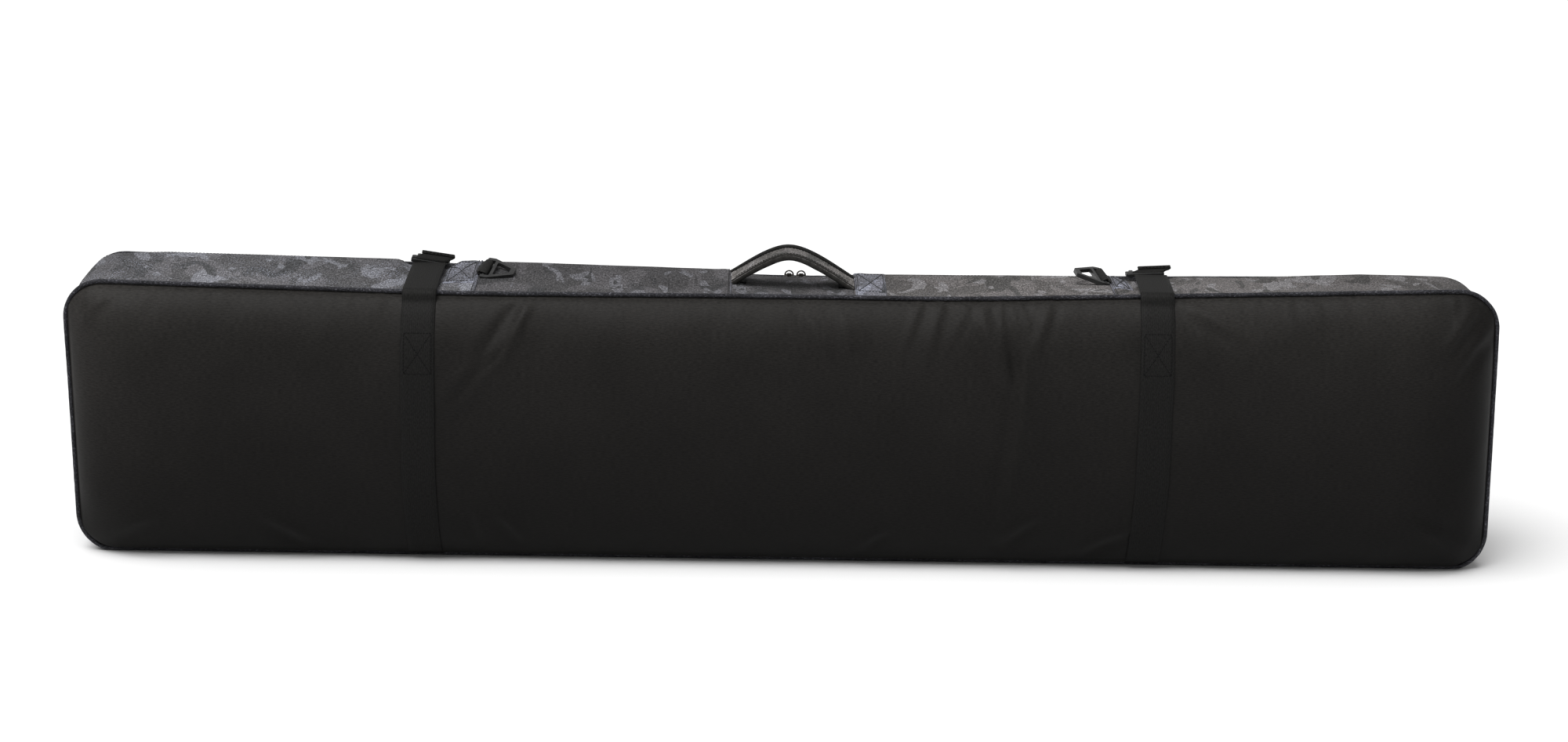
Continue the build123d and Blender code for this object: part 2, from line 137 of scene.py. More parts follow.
def section(place, y, inset):
    """Point and outward normal (x, z, nx, nz) round the bag at depth y.

    place runs from 0 to 8: the bottom, then in turn a corner and a side, up the right end, back
    along the top and down the left end. inset is the distance in from the piping's outer line.
    """
    place, y, inset = np.broadcast_arrays(np.asarray(place, float), y, inset)
    part = np.floor(place).astype(int) % 8
    t = place - np.floor(place)
    base = np.maximum(inset - PROUD, 0.0)
    radius = np.maximum(CORNER - inset, 0.004)
    side = HALF - inset
    arc = side - radius
    right = top(arc, y) - inset
    left = top(-arc, y) - inset
    turn = t * math.pi / 2
    run = arc * (2 * t - 1)
    upper = top(-run, y) - inset
    slope = (top(0.01 - run, y) - top(-0.01 - run, y)) / 0.02
    zero = np.zeros_like(t)
    one = np.ones_like(t)
    x = np.choose(part, (
        run, arc + radius * np.sin(turn), side, arc + radius * np.cos(turn),
        -run, -arc - radius * np.sin(turn), -side, -arc - radius * np.cos(turn)))
    z = np.choose(part, (
        base, base + radius * (1 - np.cos(turn)),
        base + radius + t * (right - base - 2 * radius), right - radius * (1 - np.sin(turn)),
        upper, left - radius * (1 - np.cos(turn)),
        left - radius - t * (left - base - 2 * radius), base + radius * (1 - np.sin(turn))))
    nx = np.choose(part, (
        zero, np.sin(turn), one, np.cos(turn), -slope, -np.sin(turn), -one, -np.cos(turn)))
    nz = np.choose(part, (
        -one, -np.cos(turn), zero, np.sin(turn), one, np.cos(turn), zero, -np.sin(turn)))
    return x, z, nx, nz


def place_over(x):
    """Place on the top at x."""
    arc = HALF - CORNER
    return 4 + (arc - x) / (2 * arc)


def place_beside(z, right):
    """Place on the right or left end at height z."""
    radius = CORNER - PROUD
    arc = HALF - CORNER
    upper = float(top(arc if right else -arc, 0.0)) - PROUD
    t = (z - radius) / (upper - 2 * radius)
    return 2 + t if right else 7 - t


def stations(start, end, step):
    """Places from start to end, about a step apart along the outline."""
    marks = [start] + [m for m in range(math.ceil(start + 1e-9), math.ceil(end - 1e-9))] + [end]
    corner, end_run = 0.07, 0.24
    lengths = (2 * (HALF - CORNER), corner, end_run, corner)
    found = [np.array([start])]
    for low, high in zip(marks, marks[1:]):
        long = lengths[int(low) % 4] * (high - low)
        found.append(np.linspace(low, high, max(2, round(long / step)) + 1)[1:])
    return np.concatenate(found)


def ripple(u, v, size, seed, waves=10):
    """Smooth uneven surface with features of about one size, mostly within -1 to 1."""
    draws = np.random.default_rng(seed)
    total = 0.0
    for _ in range(waves):
        angle = draws.uniform(0, math.tau)
        length = size * draws.uniform(0.7, 1.6)
        across = (u * math.cos(angle) + v * math.sin(angle)) / length
        total += np.sin(math.tau * across + draws.uniform(0, math.tau))
    return total / math.sqrt(2 * waves)


def bell(distance, width):
    """1 at no distance, falling smoothly to 0."""
    return np.exp(-(distance / width) ** 2)


def ease(value, low, high):
    """0 below low, 1 above high, and smooth between."""
    t = np.clip((value - low) / (high - low), 0.0, 1.0)
    return t * t * (3 - 2 * t)


def leaning(vertices):
    """The bag's ends lean a little to the right, from the top down."""
    points = np.array(vertices, float)
    low = 1 - np.clip(points[:, 2] / TALL, 0.0, 1.0)
    far = ease(np.abs(points[:, 0]), 0.55, 0.80)
    reach = np.where(points[:, 0] < 0, LEAN[0], LEAN[1])
    points[:, 0] += far * (reach * low**0.8 - LEAN_TOP)
    return points


# Mesh makers ----------------------------------------------------------------------------------
def new_object(name, vertices, faces, corners_uv=None):
    mesh = bpy.data.meshes.new(name)
    mesh.from_pydata(leaning(vertices).tolist(), [], faces)
    if corners_uv is not None:
        layer = mesh.uv_layers.new(name="cloth")
        layer.data.foreach_set("uv", np.asarray(corners_uv, np.float32).ravel())
    mesh.polygons.foreach_set("use_smooth", [True] * len(mesh.polygons))
    mesh.update()
    obj = bpy.data.objects.new(name, mesh)
    bpy.context.scene.collection.objects.link(obj)
    return obj


def grid(name, points, uv, closed=False, tube=False, caps=False, flip=False):
    """Quads over points (rows, columns, 3). closed joins the last row to the first, and tube the
    last column to the first; uv then has one more row or column. caps closes a tube's ends."""
    rows, columns = points.shape[:2]
    i = np.arange(rows if closed else rows - 1)[:, None]
    j = np.arange(columns if tube else columns - 1)[None, :]
    corners = [(i, j), (i + 1, j), (i + 1, j + 1), (i, j + 1)]
    if flip:
        corners.reverse()
    faces = np.stack([(a % rows) * columns + b % columns for a, b in corners], -1)
    places = np.stack([uv[a + 0 * b, b + 0 * a] for a, b in corners], 2)
    faces = faces.reshape(-1, 4).tolist()
    places = places.reshape(-1, 2)
    if caps:
        first = list(range(columns))
        last = [(rows - 1) * columns + k for k in range(columns)]
        faces += [first if flip else first[::-1], last[::-1] if flip else last]
        places = np.concatenate([places, np.repeat(uv[:1, 0], columns, 0),
                                 np.repeat(uv[-1:, 0], columns, 0)])
    return new_object(name, points.reshape(-1, 3).tolist(), faces, places)


def thicken(obj, thickness):
    """Gives a surface a thickness, behind it."""
    made = obj.modifiers.new("thickness", "SOLIDIFY")
    made.thickness = thickness
    made.offset = -1.0
    return obj


def lengths_along(points):
    """Distance along a line of points, from its first."""
    gaps = np.linalg.norm(np.diff(points, axis=0), axis=1)
    return np.concatenate([[0.0], np.cumsum(gaps)])


def unit(rows):
    """Rows of vectors, each brought to length 1."""
    return rows / np.linalg.norm(rows, axis=1)[:, None]


def read_at(places, run, rows):
    """Rows of points or directions, read at places along their run."""
    return np.stack([np.interp(places, run, rows[:, k]) for k in range(3)], -1)


def cloth_map(along, across):
    """Places on the flat cloth for rows at along and columns at across."""
    return np.stack(np.meshgrid(along, across, indexing="ij"), -1)


def smooth_path(points, step=0.003):
    """Evenly spaced points on a smooth curve through the given points."""
    p = np.array(points, float)
    p = np.vstack([2 * p[0] - p[1], p, 2 * p[-1] - p[-2]])
    t = np.linspace(0, 1, 12, endpoint=False)[:, None]
    fine = []
    for a, b, c, d in zip(p, p[1:], p[2:], p[3:]):
        fine.append(0.5 * (2 * b + (c - a) * t + (2 * a - 5 * b + 4 * c - d) * t**2
                           + (3 * b - a - 3 * c + d) * t**3))
    fine = np.vstack([*fine, p[-2:-1]])
    run = lengths_along(fine)
    even = np.linspace(0, run[-1], max(3, round(run[-1] / step)))
    return read_at(even, run, fine)


def ribbon(name, path, across, width, thickness=WEB):
    """Webbing along a path, flat across one direction, with rounded edges."""
    path = np.asarray(path, float)
    across = unit(np.array(np.broadcast_to(across, path.shape), float))
    normal = unit(np.cross(across, unit(np.gradient(path, axis=0))))
    flat = width / 2 - 0.45 * thickness
    face = np.linspace(-flat, flat, 7)
    ring = np.array([(-width / 2, 0.0), *((s, thickness / 2) for s in face),
                     (width / 2, 0.0), *((s, -thickness / 2) for s in face[::-1])])
    points = path[:, None] + ring[None, :, :1] * across[:, None] + ring[None, :, 1:] * normal[:, None]
    uv = cloth_map(lengths_along(path), np.append(ring[:, 0], ring[0, 0]))
    return grid(name, points, uv, tube=True, caps=True)


def beads(name, centres, along, normal, size):
    """Many small rounded bars in one mesh: size is (length, width, height)."""
    around, levels = 8, (-0.5, -0.38, 0.38, 0.5)
    swell = (0.45, 1.0, 1.0, 0.45)
    angle = np.arange(around) * math.tau / around
    shape = [(level, 0.5 * fat * math.cos(a), 0.5 * fat * math.sin(a))
             for level, fat in zip(levels, swell) for a in angle]
    shape = np.array(shape) * size
    steps = [(k, (k + 1) % around) for k in range(around)]
    faces = [(low + a, low + b, low + b + around, low + a + around)
             for low in range(0, len(shape) - around, around) for a, b in steps]
    centres, along, normal = (np.asarray(v, float) for v in (centres, along, normal))
    along = unit(along)
    sideways = unit(np.cross(normal, along))
    frames = np.stack([along, sideways, np.cross(along, sideways)], 1)
    vertices = centres[:, None] + np.einsum("vk,nkc->nvc", shape, frames)
    count = len(shape)
    offsets = np.arange(len(centres)) * count
    quads = (np.array(faces)[None] + offsets[:, None, None]).reshape(-1, 4).tolist()
    first = range(around)
    last = range(count - around, count)
    ends = [tuple(int(o) + k for k in reversed(first)) for o in offsets]
    ends += [tuple(int(o) + k for k in last) for o in offsets]
    return new_object(name, vertices.reshape(-1, 3).tolist(), quads + ends)


def stitches(name, runs, pitch=0.0042, long=0.0030):
    """Rows of thread. Each run is (points, normals) along a seam."""
    centres, alongs, normals = [], [], []
    for points, normal in runs:
        points, normal = np.asarray(points), np.asarray(normal)
        run = lengths_along(points)
        places = np.arange(pitch / 2, run[-1], pitch)
        centres.append(read_at(places, run, points))
        alongs.append(read_at(places, run, np.gradient(points, axis=0)))
        normals.append(read_at(places, run, normal))
    size = (long, THREAD, THREAD * 0.8)
    return beads(name, np.vstack(centres), np.vstack(alongs), np.vstack(normals), size)


def moulded(name, node, bevel):
    """A copy of a CAD node with its edges rounded, to stand for the node."""
    source = frame["nodes"][node].data
    faces = [tuple(polygon.vertices) for polygon in source.polygons]
    obj = new_object(name, [tuple(v.co) for v in source.vertices], faces)
    work = bmesh.new()
    work.from_mesh(obj.data)
    bmesh.ops.remove_doubles(work, verts=work.verts, dist=1e-6)
    bmesh.ops.dissolve_limit(work, angle_limit=math.radians(3), verts=work.verts, edges=work.edges)
    work.to_mesh(obj.data)
    work.free()
    obj.data.polygons.foreach_set("use_smooth", [True] * len(obj.data.polygons))
    rounded = obj.modifiers.new("edges", "BEVEL")
    rounded.width = bevel
    rounded.segments = 2
    rounded.limit_method = "ANGLE"
    rounded.angle_limit = math.radians(28)
    obj.modifiers.new("normals", "WEIGHTED_NORMAL")
    return obj


def finished(obj, material, body=None, stands_for=()):
    """Gives a piece its material and body, and hides the CAD nodes that it stands for."""
    obj.data.materials.append(material)
    if body is not None:
        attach(obj, body)
    if stands_for:
        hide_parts(*stands_for)
    return obj


def sewn(obj, front, material, nodes):
    """Finishes a piece of the back, or one of the front. A back piece goes with the bag's body; a front piece is
    left without a body and has its transform baked in.
    """
    finished(obj, material, None if front else "bag", nodes)
    if front:
        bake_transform(obj)


# Materials ------------------------------------------------------------------------------------
def rgba(value):
    """A colour with its alpha. A socket stays as it is."""
    return (*value, 1.0) if isinstance(value, tuple) else value


def bands(pitch):
    """Scale of a wave texture whose bands are this far apart."""
    return 1 / (20 * pitch) * math.tau


class Finish:
    """A node material, built one step at a time."""

    def __init__(self, name, roughness, metallic=0.0, sheen=0.0, specular=0.5):
        self.material = bpy.data.materials.new(name)
        self.material.use_nodes = True
        self.nodes = self.material.node_tree.nodes
        self.shader = self.feed(self.nodes["Principled BSDF"], {
            "Roughness": roughness, "Metallic": metallic, "Sheen Weight": sheen,
            "Sheen Roughness": 0.5, "Specular IOR Level": specular})

    def feed(self, node, values):
        """Sets or links each of these inputs of a node."""
        for name, value in values.items():
            if isinstance(value, bpy.types.NodeSocket):
                self.material.node_tree.links.new(value, node.inputs[name])
            else:
                node.inputs[name].default_value = value
        return node

    def node(self, kind, values):
        return self.feed(self.nodes.new(kind), values)

    def cloth(self, scale=(1.0, 1.0), shift=(0.0, 0.0)):
        """Place on the flat cloth, in metres, times scale."""
        source = self.nodes.new("ShaderNodeUVMap")
        source.uv_map = "cloth"
        mapping = self.node("ShaderNodeMapping", {
            0: source.outputs[0], "Scale": (*scale, 1.0), "Location": (*shift, 0.0)})
        return mapping.outputs[0]

    def share(self, axis, low, high):
        """How far along the cloth (axis 0) or up it (axis 1), from 0 at low to 1 at high."""
        parts = self.node("ShaderNodeSeparateXYZ", {0: self.cloth()})
        return self.node("ShaderNodeMapRange", {0: parts.outputs[axis], 1: low, 2: high}).outputs[0]

    def solid(self):
        """Place in the piece, in metres."""
        return self.nodes.new("ShaderNodeTexCoord").outputs["Object"]

    def noise(self, place, scale, detail=2.0, rough=0.5, distortion=0.0):
        return self.node("ShaderNodeTexNoise", {
            "Vector": place, "Scale": scale, "Detail": detail, "Roughness": rough,
            "Distortion": distortion}).outputs[0]

    def wave(self, place, scale, direction="X", distortion=0.0):
        node = self.node("ShaderNodeTexWave", {
            "Vector": place, "Scale": scale, "Distortion": distortion, "Detail Scale": 2.0})
        node.bands_direction = direction
        return node.outputs[1]

    def sum(self, operation, first, second):
        """Result of a Math node's operation."""
        node = self.nodes.new("ShaderNodeMath")
        node.operation = operation
        return self.feed(node, {0: first, 1: second}).outputs[0]

    def ramp(self, value, *stops):
        """Colours at places: each stop is (place, (r, g, b)) or (place, grey)."""
        node = self.node("ShaderNodeValToRGB", {0: value})
        elements = node.color_ramp.elements
        while len(elements) < len(stops):
            elements.new(0.5)
        for element, (place, colour) in zip(elements, stops):
            element.position = place
            element.color = rgba(colour if isinstance(colour, tuple) else (colour,) * 3)
        return node.outputs[0]

    def mix(self, share, first, second, blend="MIX"):
        node = self.nodes.new("ShaderNodeMix")
        node.data_type = "RGBA"
        node.blend_type = blend
        return self.feed(node, {0: share, 6: rgba(first), 7: rgba(second)}).outputs[2]

    def times(self, colour, *factors):
        """A colour multiplied by each factor in turn."""
        for factor in factors:
            colour = self.mix(1.0, colour, factor, "MULTIPLY")
        return colour

    def done(self, colour, height=None, depth=0.0003, strength=0.6, roughness=None):
        """The material, with this colour, roughness and bump."""
        self.feed(self.shader, {"Base Color": rgba(colour)})
        if roughness is not None:
            self.feed(self.shader, {"Roughness": roughness})
        if height is not None:
            bump = self.node("ShaderNodeBump", {"Distance": depth, "Strength": strength, "Height": height})
            self.feed(self.shader, {"Normal": bump.outputs[0]})
        return self.material


def weave(finish, pitch):
    """Height of a plain weave with this yarn pitch."""
    place = finish.cloth()
    warp, weft = (finish.wave(place, bands(pitch), direction, 0.4) for direction in "XY")
    return finish.sum("MULTIPLY", warp, weft)


def black_cloth():
    """Coated cloth with painted light: painted paler towards the top and at the left end, and darker towards the
    bottom and the right end.
    """
    made = Finish("black_cloth", roughness=0.5, sheen=0.012, specular=0.075)
    yarns = made.noise(made.cloth((180, 900)), 1.0, 3, 0.6)
    worn = made.noise(made.cloth(), 9.0, 4, 0.6)
    # upward and along carry painted light: the top is painted paler and the bottom darker as if lit from above,
    # and the left end paler and the right end darker as if lit from the left.
    upward = made.share(1, 0.02, 0.34)
    along = made.share(0, -0.84, 0.84)
    colour = made.times(
        made.ramp(yarns, (0.30, 0.0072), (0.70, 0.0168)),
        made.ramp(worn, (0.35, 0.88), (0.70, 1.15)),
        # painted light and shade: paler towards the top, darker towards the bottom
        made.ramp(upward, (0.0, 0.30), (0.45, 0.66), (0.80, 1.0), (1.0, 1.5)),
        # painted light and shade: paler at the left end, darker at the right end
        made.ramp(along, (0.0, 1.5), (0.10, 1.0), (0.93, 1.0), (1.0, 0.45)),
        (1.07, 1.0, 0.93))
    rough = made.ramp(worn, (0.3, 0.46), (0.7, 0.58))
    return made.done(colour, weave(made, 0.0011), 0.0002, 0.35, rough)


def patterned_cloth(name, shift, tint, gain, flecks):
    """Heathered grey cloth with a soft blotched print."""
    made = Finish(name, roughness=0.8, sheen=0.03, specular=0.12)
    fine = made.noise(made.cloth((1.0, 0.45), shift), 520.0, 3, 0.75)
    streak = made.noise(made.cloth((140, 420), shift), 1.0, 3, 0.65)
    bright = made.noise(made.cloth((1.0, 0.5), shift), 640.0, 2, 0.6)
    cloud = made.noise(made.cloth(shift=shift), 14.0, 3, 0.6)
    broad = made.noise(made.cloth(shift=shift), 5.0, 3)
    frayed = made.sum("MULTIPLY", made.noise(made.cloth(), 240.0, 3, 0.7), 0.05)

    colour = (0.058, 0.056, 0.057)
    for move, size, distortion, low, high, ink in (
            (0.0, 21.0, 0.8, 0.540, 0.560, (0.041, 0.040, 0.040)),
            (3.1, 27.0, 1.0, 0.600, 0.618, (0.088, 0.088, 0.093)),
            (7.7, 33.0, 0.9, 0.630, 0.645, (0.031, 0.031, 0.031))):
        place = made.cloth((0.95, 0.46), (shift[0] + move, shift[1] - move))
        blotch = made.sum("ADD", made.noise(place, size, 2, 0.5, distortion), frayed)
        colour = made.mix(made.ramp(blotch, (low, 0.0), (high, 1.0)), colour, ink)
    colour = made.times(colour,
                        made.ramp(broad, (0.3, 0.75), (0.7, 1.30)),
                        made.ramp(fine, (0.34, 0.36), (0.50, 0.90), (0.64, 2.05)),
                        made.ramp(streak, (0.33, 0.62), (0.67, 1.45)))
    worn = made.sum("MULTIPLY", made.ramp(bright, (0.56, 0.0), (0.68, 1.0)),
                    made.ramp(cloud, (0.42, 0.0), (0.66, flecks)))
    colour = made.mix(worn, colour, (0.26, 0.27, 0.31))
    colour = made.times(colour, tuple(gain * t for t in tint))
    return made.done(colour, weave(made, 0.0009), 0.0003, 0.5)


def piping_cloth():
    made = Finish("piping_cloth", roughness=0.8, sheen=0.03, specular=0.12)
    flecks = made.noise(made.cloth((330, 700)), 1.0, 2, 0.7)
    broad = made.noise(made.cloth(), 22.0, 3, 0.6)
    colour = made.times(
        made.ramp(flecks, (0.38, (0.014, 0.014, 0.016)), (0.58, (0.034, 0.034, 0.039)),
                  (0.72, (0.160, 0.160, 0.185))),
        made.ramp(broad, (0.35, 0.6), (0.7, 1.5)))
    return made.done(colour, weave(made, 0.0010), 0.0003, 0.6)


def webbing(name="webbing", grey=0.0085, foot=1.0):
    """Ribs run along the webbing, with a fine twill across. foot sets a painted shade that darkens the webbing
    near its start, the lower end of a back strap.
    """
    made = Finish(name, roughness=0.62, sheen=0.01, specular=0.07)
    ribs = made.wave(made.cloth(), bands(0.0024), "Y")
    twill = made.wave(made.cloth((1.0, 0.6)), bands(0.0012), "DIAGONAL", 0.3)
    height = made.sum("ADD", made.sum("MULTIPLY", ribs, 0.7), made.sum("MULTIPLY", twill, 0.4))
    speck = made.noise(made.cloth((300, 900)), 1.0, 2, 0.6)
    colour = made.times(
        made.ramp(speck, (0.3, 0.6 * grey), (0.7, 1.7 * grey)),
        # painted shade and highlight: the colour follows the ribs' relief, darker in the grooves and paler on the
        # crowns
        made.ramp(ribs, (0.1, 0.92), (0.9, 1.08)),
        # painted shade: darker near the start of the webbing, towards the bottom of a back strap
        made.ramp(made.share(0, 0.0, 0.36), (0.0, foot), (0.4, 0.5 + 0.5 * foot), (1.0, 1.0)),
        (1.02, 1.0, 0.96))
    return made.done(colour, height, 0.0002, 0.3)


def plain_cloth(name, colour, pitch=0.0008, roughness=0.8):
    made = Finish(name, roughness=roughness, sheen=0.02, specular=0.12)
    spread = made.noise(made.cloth((200, 700)), 1.0, 3, 0.6)
    low, high = (tuple(share * c for c in colour) for share in (0.7, 1.3))
    return made.done(made.ramp(spread, (0.3, low), (0.7, high)), weave(made, pitch), 0.0002, 0.4)


def plastic(name, grey, roughness):
    made = Finish(name, roughness=roughness, specular=0.3)
    grain = made.noise(made.solid(), 2600.0, 2, 0.6)
    worn = made.noise(made.solid(), 90.0, 4, 0.6)
    colour = made.ramp(worn, (0.3, 0.8 * grey), (0.75, 1.4 * grey))
    rough = made.ramp(worn, (0.3, roughness - 0.06), (0.7, roughness + 0.08))
    return made.done(colour, grain, 0.00012, 0.35, rough)


def enamel():
    made = Finish("dark_metal", roughness=0.3, metallic=0.7)
    worn = made.noise(made.solid(), 400.0, 4, 0.6)
    colour = made.ramp(worn, (0.35, (0.03, 0.029, 0.028)), (0.75, (0.11, 0.095, 0.08)))
    return made.done(colour, worn, 0.00008, 0.3, made.ramp(worn, (0.3, 0.24), (0.7, 0.42)))


def thread(name, grey):
    made = Finish(name, roughness=0.7, specular=0.08)
    twist = made.wave(made.solid(), 500.0, "DIAGONAL")
    # painted shade and highlight: the colour follows the twist's relief, darker in its grooves and paler on its
    # crests
    return made.done(made.ramp(twist, (0.2, 0.6 * grey), (0.8, 1.3 * grey)), twist, 0.0001, 0.5)


BLACK = black_cloth()
# name, place on the print, tint, brightness and share of bright flecks
PATTERN_LEFT = patterned_cloth("patterned_left", (0.0, 0.0), (0.98, 0.99, 1.03), 1.45, 1.0)
PATTERN_MIDDLE = patterned_cloth("patterned_middle", (1.7, 0.4), (0.99, 0.98, 1.01), 1.05, 0.30)
PATTERN_RIGHT = patterned_cloth("patterned_right", (3.9, 0.9), (1.04, 1.0, 0.97), 1.50, 0.45)
PATTERN_PATCH = patterned_cloth("patterned_patch", (5.2, 2.1), (0.95, 0.98, 1.10), 2.3, 1.0)
GRIP = patterned_cloth("patterned_grip", (9.3, 4.4), (1.03, 1.0, 0.95), 1.95, 0.25)

PIPED = piping_cloth()
WEBBED = webbing()
# webbing of the back straps, with painted shade darkening it towards its lower end
WEBBED_BACK = webbing("webbing_back", 0.0095, 0.3)
WEBBED_LOOP = webbing("webbing_loop", 0.014)
LINED = plain_cloth("lining_cloth", (0.060, 0.060, 0.064))
BOUND = plain_cloth("binding_tape", (0.012, 0.012, 0.012), 0.0014)
TAPE = plain_cloth("zip_tape", (0.010, 0.010, 0.010), 0.0010, 0.75)
GRIP_SIDE = plain_cloth("grip_side", (0.026, 0.025, 0.023), 0.0012)
GRIP_RIM = plain_cloth("grip_rim", (0.016, 0.016, 0.015), 0.0012)
TEETH = plastic("zip_teeth", 0.010, 0.38)
PLASTIC = plastic("black_plastic", 0.012, 0.36)
RING_PLASTIC = plastic("ring_plastic", 0.026, 0.27)
METAL = enamel()
DARK_THREAD = thread("dark_thread", 0.0045)
GREY_THREAD = thread("grey_thread", 0.042)


# Camera, floor and light ----------------------------------------------------------------------
def camera():
    yaw, pitch, roll = (math.radians(a) for a in (0.56, 15.13, 1.00))
    forward = Vector((math.sin(yaw) * math.cos(pitch), math.cos(yaw) * math.cos(pitch),
                      -math.sin(pitch)))
    right = Vector((math.cos(yaw), -math.sin(yaw), 0.0))
    upward = right.cross(forward)
    level = math.cos(roll) * right + math.sin(roll) * upward
    raised = math.cos(roll) * upward - math.sin(roll) * right
    data = bpy.data.cameras.new("camera")
    data.lens = 75.0
    data.sensor_width = 36.0
    obj = bpy.data.objects.new("camera", data)
    obj.matrix_world = Matrix.Translation((-0.0342, -3.7981, 1.2408)) @ Matrix(
        (level, raised, -forward)).transposed().to_4x4()
    bpy.context.scene.collection.objects.link(obj)
    bpy.context.scene.camera = obj


def studio():
    size, level = 30.0, -0.0004
    points = np.array([[(x, y, level) for y in (-size, size)] for x in (-size, size)])
    floor = grid("floor", points, points[..., :2])
    made = Finish("floor", roughness=0.9, specular=0.2)
    cloud = made.noise(made.solid(), 0.6, 2)
    floor.data.materials.append(made.done(made.ramp(cloud, (0.3, 0.80), (0.7, 0.83))))

    world = bpy.data.worlds.new("studio")
    world.use_nodes = True
    sky = world.node_tree.nodes["Background"]
    sky.inputs["Color"].default_value = (1.0, 1.0, 1.0, 1.0)
    sky.inputs["Strength"].default_value = 0.38
    bpy.context.scene.world = world

    lamp = bpy.data.lights.new("overhead", "SUN")
    lamp.energy = 3.5
    lamp.angle = math.radians(50)
    overhead = bpy.data.objects.new("overhead", lamp)
    overhead.rotation_euler = (math.radians(15), math.radians(-16), 0.0)
    bpy.context.scene.collection.objects.link(overhead)
    bpy.context.scene.view_settings.view_transform = "Standard"


camera()
studio()


# Panels ---------------------------------------------------------------------------------------
def panel_grid(y, step):
    """x, z and the lower and upper outline of the panel at y, in columns from low to high."""
    side = HALF - PROUD
    radius = CORNER - PROUD
    arc = side - radius
    turn = np.linspace(0, math.pi / 2, 13)[1:]
    middle = np.linspace(-arc, arc, round(2 * arc / step) + 1)
    x = np.concatenate([-arc - radius * np.sin(turn)[::-1], middle, arc + radius * np.sin(turn)])
    beyond = np.maximum(np.abs(x) - arc, 0.0)
    low = radius - np.sqrt(np.maximum(radius**2 - beyond**2, 0.0))
    high = top(np.clip(x, -arc, arc), y) - PROUD - low
    rim = np.array([0.0, 0.0012, 0.0024, 0.0036, 0.0050, 0.0066, 0.0085, 0.011]) / TALL
    share = np.concatenate([rim, np.linspace(0.045, 0.955, round(0.30 / step)), 1 - rim[::-1]])
    z = low[:, None] + (high - low)[:, None] * share[None]
    return np.broadcast_to(x[:, None], z.shape), z, low[:, None], high[:, None]


BACK_SWELL = (3.4, 0.72)     # how soon, and how roundly, each panel comes to its fullness
FRONT_SWELL = (1.9, 0.8)


def full(distance, soft, power):
    """Share of a panel's fullness at a distance in from one edge."""
    t = np.clip(distance / FULL_AT, 0.0, 1.0)
    return (1 - (1 - t) ** soft) ** power


def panel_height(x, z, low, high, soft, power):
    """A panel's plain fullness, with no creases."""
    end = HALF - PROUD - np.abs(x)
    return FULLNESS * (full(z - low - TUCK, soft, power) * full(high - z - TUCK, soft, power)
                       * full(1.15 * end - TUCK, soft, power))


# Creases of the back panel: half width, depth, then x and z of each point, in millimetres
CREASES = (
    (6.5, 2.6, -289, 327, -312, 296, -348, 246),
    (5.0, 1.9, -297, 322, -309, 288, -330, 250, -357, 226),
    (7.0, 1.6, -402, 206, -384, 226, -362, 248),
    (8.0, 1.1, -398, 188, -372, 204, -350, 232),
    (6.0, 1.2, 24, 318, 40, 286, 58, 250),
    (6.0, 0.9, 66, 315, 74, 290, 78, 262),
    (9.0, 2.2, 218, 330, 250, 272, 280, 205),
    (7.0, 1.8, 268, 322, 282, 262, 284, 190),
    (8.0, 2.0, 292, 326, 286, 252, 276, 150, 258, 48),
    (7.0, 1.3, 312, 322, 300, 286, 294, 240),
    (7.0, 1.9, 462, 334, 492, 316, 534, 293),
    (6.0, 1.1, 470, 322, 486, 300, 496, 268),
    (7.0, 1.2, -610, 58, -584, 44, -556, 26),
    (6.0, 1.2, -332, 66, -318, 52, -306, 34),
    (6.0, 1.0, -362, 74, -356, 56, -352, 34),
    (6.0, 1.2, 96, 28, 110, 42, 128, 54),
    (7.0, 1.6, 262, 40, 282, 58, 304, 74),
    (7.0, 1.6, 356, 26, 384, 44, 418, 56),
    (7.0, 2.0, 772, 276, 798, 312, 820, 336),
    (7.0, 1.6, 784, 250, 808, 284, 832, 300),
    (6.0, 1.3, -818, 286, -806, 306, -786, 322),
    (5.0, 1.3, -822, 300, -812, 318, -798, 328),
    (8.0, 1.4, -800, 26, -770, 46, -742, 58),
    (8.0, 1.4, 806, 30, 780, 52, 748, 70),
)
CREASED = 2.1            # every crease is this many times as deep


def crease(x, z, width, depth, *line):
    """A ridge along a line with a valley beside it, fading out at both ends."""
    points = np.reshape(line, (-1, 2)) / 1000
    width, depth = width / 1000, depth / 1000
    run = lengths_along(points)
    nearest = np.full(x.shape, 1e9)
    sideways = np.zeros(x.shape)
    share = np.zeros(x.shape)
    for start, end, done in zip(points, points[1:], run):
        length = np.linalg.norm(end - start)
        ux, uz = (end - start) / length
        t = np.clip((x - start[0]) * ux + (z - start[1]) * uz, 0.0, length)
        gap_x, gap_z = x - start[0] - t * ux, z - start[1] - t * uz
        distance = np.hypot(gap_x, gap_z)
        closer = distance < nearest
        side = np.sign(gap_x * uz - gap_z * ux) * distance
        nearest = np.where(closer, distance, nearest)
        sideways = np.where(closer, side, sideways)
        share = np.where(closer, (done + t) / run[-1], share)
    fade = np.sin(math.pi * np.clip(0.06 + 0.88 * share, 0, 1)) ** 0.8
    profile = bell(sideways, width) - 0.75 * bell(sideways - 1.7 * width, 1.2 * width)
    return depth * profile * fade


